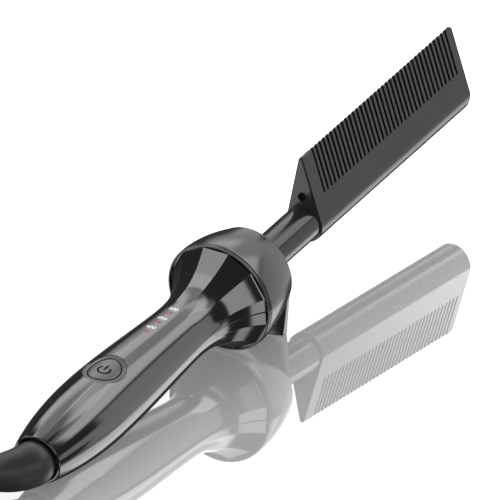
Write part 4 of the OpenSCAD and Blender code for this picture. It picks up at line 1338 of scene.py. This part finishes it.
seat_rise = seat_height(SCREW_US[1]) - seat_height(SCREW_US[0])
screw_step = comb_direction(SCREW_US[1] - SCREW_US[0], 0.0, seat_rise)
shell_screws = empty_object("handle_screws")
repeat(shell_screws, screw_head(SCREW_US[0]), len(SCREW_US), screw_step, "blackened_steel")
settle(shell_screws, "comb_body", "screw_steel", "blackened_steel", "shell_screws")

# %% [markdown]
# ## The boot
# A moulded rubber boot turns in the tail like a ball in a cup, bends down and aside, and thins
# to the cord. Its rings follow one smooth line, and their radii first draw the ball and then
# the long taper.

# %% The cord boot
BALL_BACK = 3.5
BALL = [
    # behind the ball's middle, radius
    (6.2, 5.9), (6.05, 6.3), (5.6, 6.9), (4.6, 7.65), (3.4, 8.3), (2.0, 8.7), (0.9, 8.8),
]
BOOT = [
    # back from the tail, aside, share of the tail's height, radius
    (3.5, 0.0, 0.965, 8.85), (7.7, 2.5, 0.87, 8.5), (11.0, 5.6, 0.8, 7.9), (13.6, 9.2, 0.74, 7.2),
    (16.6, 14.3, 0.65, 6.3), (20.2, 20.2, 0.52, 5.7), (25.6, 25.9, 0.35, 5.0),
    (32.3, 30.2, 0.17, 4.4), (39.9, 32.6, 0.0, 3.8),
]
BOOT_END = [(0.35, 3.5), (0.5, 3.02)]
END_HEIGHT = 4


def distances_along(line):
    """How far along a line each of its points is."""
    spans = [0.0]
    for a, b in zip(line, line[1:]):
        spans.append(spans[-1] + (b - a).length)
    return spans


def radii_between(line, route, radii):
    """A radius for each point of a line, in even steps between those of its route."""
    marks = [line.index(p) for p in route]
    made = []
    for a, b, r0, r1 in zip(marks, marks[1:], radii, radii[1:]):
        spans = distances_along(line[a:b + 1])
        made += [r0 + (r1 - r0) * s / spans[-1] for s in spans[:-1]]
    return made + [radii[-1]]


tail_direction = comb_direction(-1, 0, 0)
tail_centre = on_table(-HANDLE_LEN, 0, 0) / MM
boot_line = [tail_centre + tail_direction * (BALL_BACK - s) for s, r in BALL]
boot_radii = [r for s, r in BALL]
route = [
    Vector((TAIL_X - x, y, END_HEIGHT + f * (TAIL_Z - END_HEIGHT))) for x, y, f, r in BOOT
]
fine = curve_through(route, 0.9)
boot_line += fine
boot_radii += radii_between(fine, route, [row[3] for row in BOOT])
last = (boot_line[-1] - boot_line[-2]).normalized()
boot_line += [fine[-1] + last * s for s, r in BOOT_END]
boot_radii += [r for s, r in BOOT_END]
boot = make_object(
    "boot", *swept([p * MM for p in boot_line], [r * MM for r in boot_radii], 56)
)
settle(boot, "cord_set", "boot_rubber", "boot_rubber", "cord_boot")

# %% [markdown]
# ## The tie and the plug
# A soft strap holds the hank, its end pressed back on itself. The plug is moulded round the
# cord: a ribbed relief, a flat grip with shallow ridges, and two folded brass blades.

# %% The hank's tie
TIE_MIDDLE, TIE_HALF = (-21.0, 9.45), (9.9, 9.45)
TIE_CORNER = 3.0


def rounded_ring(x, middle, half, corner):
    """A rectangle with round corners, across the x direction."""
    ring = []
    for side_y, side_z, start in ((1, 1, 0), (-1, 1, 90), (-1, -1, 180), (1, -1, 270)):
        for d in range(0, 91, 15):
            a = math.radians(start + d)
            ring.append(Vector((
                x,
                middle[0] + side_y * (half[0] - corner) + corner * math.cos(a),
                middle[1] + side_z * (half[1] - corner) + corner * math.sin(a),
            )) * MM)
    return ring


def strap_ring(x, thick):
    """The strap's outline round the bundle, at a place along it."""
    half = (TIE_HALF[0] - thick, TIE_HALF[1] - thick)
    return rounded_ring(x, TIE_MIDDLE, half, TIE_CORNER - thick)


end = TIE_WIDTH / 2
strap_rows = [(-end, 0.3), (-end + 0.25, 0.05), (-end + 0.6, 0.0), (end - 0.6, 0.0),
              (end - 0.25, 0.05), (end, 0.3), (end, 0.7), (-end, 0.7), (-end, 0.3)]
strap = make_object(
    "hank_strap",
    *skin([strap_ring(TIE_X + x, t) for x, t in strap_rows], first_cap=False, last_cap=False)
)
settle(strap, "cord_set", "tie_plastic", "tie_black", "cord_tie")

# %% The plug
PLUG_X, PLUG_Y, PLUG_Z = TAIL_X - 118.4, 25.0, 25.0


def plug_ring(x, half_wide, half_high, corner):
    """The plug's outline at a place behind its cord end."""
    return rounded_ring(PLUG_X - x, (PLUG_Y, PLUG_Z), (half_wide, half_high), corner)


plug_rows = [(0.0, 3.1, 3.1, 3.0), (0.1, 3.7, 3.7, 3.6)]
for i in range(5):
    x, r = 1.2 + 2.4 * i, 3.85 + 0.33 * i
    for dx, dr in ((0.0, 0.0), (1.1, 0.05), (1.35, -0.55), (1.95, -0.55), (2.2, 0.05)):
        plug_rows.append((x + dx, r + dr, r + dr, r + dr - 0.1))
plug_rows += [(14.0, 5.5, 5.5, 5.3), (14.3, 9.2, 6.0, 4.6), (15.2, 11.0, 6.6, 4.2),
              (16.6, 11.9, 6.95, 4.0), (18.0, 12.0, 7.0, 4.0)]
for i in range(4):
    x = 20.0 + 3.4 * i
    for dx, dw in ((0.0, 0.0), (0.5, -0.55), (1.4, -0.55), (1.9, 0.0)):
        plug_rows.append((x + dx, 12.0 + dw, 7.0, 4.0 + dw))
plug_rows += [(40.9, 12.0, 7.0, 4.0), (41.6, 11.85, 6.85, 3.9), (41.95, 11.3, 6.3, 3.5),
              (42.0, 10.6, 5.6, 3.0)]
plug = make_object("plug", *skin([plug_ring(*row) for row in plug_rows]), sharp_from=35)
settle(plug, "cord_set", "plug_plastic", "plug_black", "plug_body")

# %% The plug's blades
PIN_PITCH = 12.7
PIN_HOLE_AT, PIN_HOLE_R = 54.8, 1.6
pins = empty_object("plug_pins")
pin_rows = [(41.0, 0.75, 3.175), (57.0, 0.75, 3.175), (57.6, 0.62, 3.0), (58.0, 0.4, 2.5)]
pin = make_object("pin", *skin([
    [Vector((PLUG_X - x, PLUG_Y - PIN_PITCH / 2 + y, PLUG_Z + z)) * MM
     for y, z in ((b, c), (-b, c), (-b, -c), (b, -c))]
    for x, b, c in pin_rows
]))
cut(pin, make_object("pin_hole", *skin([
    [Vector((PLUG_X - PIN_HOLE_AT + x, PLUG_Y + y, PLUG_Z + z)) * MM
     for x, z in oval_points(PIN_HOLE_R, PIN_HOLE_R, 24)]
    for y in (-9.0, -3.0)
])))
repeat(pins, pin, 2, Vector((0, PIN_PITCH, 0)), "brass")
settle(pins, "cord_set", "contact_brass", "brass", "plug_blades")

settle(cord, "cord_set", "cord_jacket", "cord_rubber", "cord_lead", "cord_hank", "cord_end")

# %% [markdown]
# ## The working parts inside
# The heater, board, switch and swivel keep their CAD shapes, which are right as they are. Each
# gets a finish of its own kind by its slot in the model, so the comb looks right opened up too.

# %% Finishes for the carried-over parts
inside_finishes = finishes_of((
    # slot, dark colour, light colour, roughness, what else differs from the usual
    ("ceramic_white", (0.70, 0.68, 0.62), (0.80, 0.78, 0.73), 0.5, {}),
    ("heater_ceramic", (0.55, 0.53, 0.50), (0.66, 0.64, 0.60), 0.6, {}),
    ("clamp_aluminium", 0.45, 0.58, 0.35, dict(metallic=1.0, hairlines=0.2)),
    ("sensor_glass", (0.55, 0.30, 0.12), (0.66, 0.40, 0.18), 0.15, {}),
    ("fuse_steel", 0.40, 0.52, 0.3, dict(metallic=1.0)),
    ("wire_sleeve", (0.60, 0.58, 0.52), (0.72, 0.70, 0.64), 0.7, dict(grain=0.4)),
    ("board_green", (0.02, 0.13, 0.05), (0.03, 0.19, 0.08), 0.35, dict(mark_size=900.0)),
    ("component_dark", 0.03, 0.06, 0.5, dict(mark_size=900.0)),
    ("switch_white", (0.62, 0.62, 0.60), (0.74, 0.74, 0.72), 0.45, {}),
    ("lamp_red", (0.45, 0.03, 0.03), (0.60, 0.06, 0.06), 0.2, {}),
    ("screw_steel", 0.42, 0.56, 0.3, dict(metallic=1.0, wear=0.3)),
    ("swivel_nylon", 0.10, 0.15, 0.5, dict(grain=0.3)),
    ("contact_brass", (0.60, 0.42, 0.16), (0.72, 0.52, 0.22), 0.3, dict(metallic=1.0)),
    ("contact_copper", (0.55, 0.24, 0.13), (0.68, 0.32, 0.18), 0.3, dict(metallic=1.0)),
    ("handle_gloss", 0.006, 0.009, 0.15, {}),
), prefix="inside_")
dressed = 0
for name, node in nodes.items():
    if node.hide_render:
        continue
    slot = node.data.materials[0].name if node.data.materials else ""
    key = next((s for s in inside_finishes if slot.startswith(s)), "component_dark")
    for place in node.material_slots:
        place.material = inside_finishes[key]
    if not node.material_slots:
        node.data.materials.append(inside_finishes[key])
    dressed += 1
    print(f"  {name}: {slot or 'no slot'} -> {key}")
print(f"{dressed} carried-over nodes dressed")

# %% [markdown]
# ## The table and the light
# The comb lies on a glossy white table that mirrors it. The table is white to the camera by its
# own colour, and mixes that with a mirror, whose image gets paler towards the blade. A small
# share stays matt, so the comb's shadow still falls on it.

# %% The table
FLOOR_HALF = 6.0
MATT_GREY, SEEN_LEVEL = 0.5, 0.6
MIRROR_FROM, MIRROR_TO = 0.0, 0.12
MIRROR_SHARES, MIRROR_GAINS = (0.72, 0.75), (1.0, 2.3)
floor = make_object("table_top", *skin([
    [Vector((x * FLOOR_HALF, y * FLOOR_HALF, z)) for x, y in ((-1, -1), (1, -1), (1, 1), (-1, 1))]
    for z in (-0.02, -0.0001)
]))
floor_paint = bpy.data.materials.new("table_paint")
floor_paint.use_nodes = True
tree = floor_paint.node_tree
tree.nodes.clear()
output, matt, shine, mirror, base, blend = (
    tree.nodes.new(f"ShaderNode{kind}") for kind in (
        "OutputMaterial", "BsdfDiffuse", "Emission", "BsdfAnisotropic", "AddShader", "MixShader"
    )
)
matt.inputs["Color"].default_value = rgba(MATT_GREY)
mirror.inputs["Roughness"].default_value = 0.0
camera_ray = tree.nodes.new("ShaderNodeLightPath").outputs["Is Camera Ray"]
along_table = place_node(tree, "Object")["X"]
share = range_node(tree, along_table, MIRROR_FROM, MIRROR_TO, *MIRROR_SHARES)
gain = range_node(tree, along_table, MIRROR_FROM, MIRROR_TO, *MIRROR_GAINS)
join(
    tree, (math_node(tree, "MULTIPLY", camera_ray, SEEN_LEVEL), shine.inputs["Strength"]),
    (matt.outputs[0], base.inputs[0]), (shine.outputs[0], base.inputs[1]),
    (gain, mirror.inputs["Color"]), (share, blend.inputs["Fac"]),
    (base.outputs[0], blend.inputs[1]), (mirror.outputs[0], blend.inputs[2]),
    (blend.outputs[0], output.inputs["Surface"]),
)
floor.data.materials.append(floor_paint)
floor.visible_glossy = False

# %% [markdown]
# Gloss black shows nothing but its surroundings, so the room is what gives the comb its shape.
# The room is painted on the world by direction: soft windows, each from one azimuth and height
# to another, in degrees, with dark walls between them. Azimuth is counted from the blade's
# direction towards the left. Each flat of the flare turns fully light or fully dark in them, and
# the round handle shows long stripes. Only gloss sees the windows. Matt surfaces get one even
# level, and the camera and the table's mirror see white.

# %% The room
DARK_WALL = 0.07
MATT_LEVEL = 0.85
WINDOWS = (
    # from, to, low, high, brightness, softness of the sides, softness of the top and bottom
    (-56, 31, -24, 23, 0.78, 3, 3),       # the wall ahead
    (-72, -56, -11, 4, 0.78, 3, 3),       # and its low end on the right
    (-68, -15, 28, 50, 1.30, 4, 3),       # the panel above it, to the right
    (-68, -15, 28, 60, 0.80, 4, 9),
    (-15, 15, 23, 48, 0.92, 3, 2),        # a dimmer gap in the middle
    (-44, 20, 49, 64, 1.75, 8, 7),        # the ceiling
    (-44, 20, 61, 78, 0.55, 8, 6),        # and its far side
    (15, 60, 24, 75, 0.95, 3, 4),         # the panel to the left
    (15, 60, 27, 46, 1.00, 3, 10),
    (31, 44, 9, 24, 0.45, 3, 5),          # with a lower wing
    (31, 44, 16, 24, 0.40, 3, 4),
    (60, 98, 48, 68, 2.30, 3, 3),         # and two high ones behind it
    (98, 150, 38, 68, 1.75, 3, 3),
    (-116, -82, 4, 30, 1.65, 3, 3),       # a tall one on the right
    (-61, -37, -51, -28, 2.10, 8, 8),     # light thrown up by the table, on the right
    (-37, -6, -51, -26, 2.10, 4, 5),      # and in front
    (-126, -96, -42, -24, 1.50, 4, 4),    # and to the right
    (-46, -24, -71, -62, 1.00, 4, 3),
    (120, 175, -55, -12, 1.30, 6, 6),     # and behind, on the left
    (104, 146, -8, 24, 1.10, 5, 5),       # three low ones light the comb's far sides
    (158, 190, -8, 34, 0.90, 5, 5),
    (-190, -130, -8, 34, 1.10, 5, 5),
)
world = bpy.data.worlds.new("room")
bpy.context.scene.world = world
world.use_nodes = True
tree = world.node_tree
backdrop = tree.nodes["Background"]
backdrop.inputs["Color"].default_value = rgba(1)
ahead = place_node(tree, "Generated")
azimuth = math_node(tree, "DEGREES", math_node(tree, "ARCTAN2", ahead["Y"], ahead["X"]))
height = math_node(tree, "DEGREES", math_node(tree, "ARCSINE", ahead["Z"]))


def window(start, end, low, high, brightness, side_soft, height_soft):
    """A soft-edged window in the room, by its directions."""
    mask = brightness
    for angle, first, last, soft in (
        (azimuth, start, end, side_soft), (height, low, high, height_soft)
    ):
        opens = range_node(tree, angle, first - soft / 2, first + soft / 2)
        closes = range_node(tree, angle, last + soft / 2, last - soft / 2)
        mask = math_node(tree, "MULTIPLY", mask, opens)
        mask = math_node(tree, "MULTIPLY", mask, closes)
    return mask


room = DARK_WALL
for place in WINDOWS:
    room = math_node(tree, "ADD", room, window(*place))
ray = tree.nodes.new("ShaderNodeLightPath").outputs
white = math_node(tree, "MAXIMUM", ray["Is Camera Ray"], ray["Is Singular Ray"])
white = math_node(tree, "MAXIMUM", white, ray["Is Transmission Ray"])
even = math_node(tree, "MULTIPLY", ray["Is Diffuse Ray"], MATT_LEVEL)
plain = math_node(tree, "MAXIMUM", white, even)
not_gloss = math_node(tree, "MAXIMUM", white, ray["Is Diffuse Ray"])
room = math_node(tree, "MULTIPLY", room, math_node(tree, "SUBTRACT", 1.0, not_gloss))
strength = math_node(tree, "ADD", plain, room)
tree.links.new(strength, backdrop.inputs["Strength"])
print(len(WINDOWS), "windows in the room")

# %% [markdown]
# One soft lamp hangs high in front. It is left out of the reflections, and only gives the table
# a shadow to keep.

# %% The lamp
LAMP_SIDE, LAMP_POWER, LAMP_PLACE = 0.9, 9.0, (0.5, 0.5, 1.3)
data = bpy.data.lights.new("soft_lamp", "AREA")
data.shape = "RECTANGLE"
data.size, data.size_y = LAMP_SIDE, LAMP_SIDE
data.energy = LAMP_POWER
lamp = new_object("soft_lamp", data)
lamp.location = LAMP_PLACE
lamp.rotation_euler = (-lamp.location).to_track_quat("-Z", "Y").to_euler()
lamp.visible_camera = False
lamp.visible_glossy = False
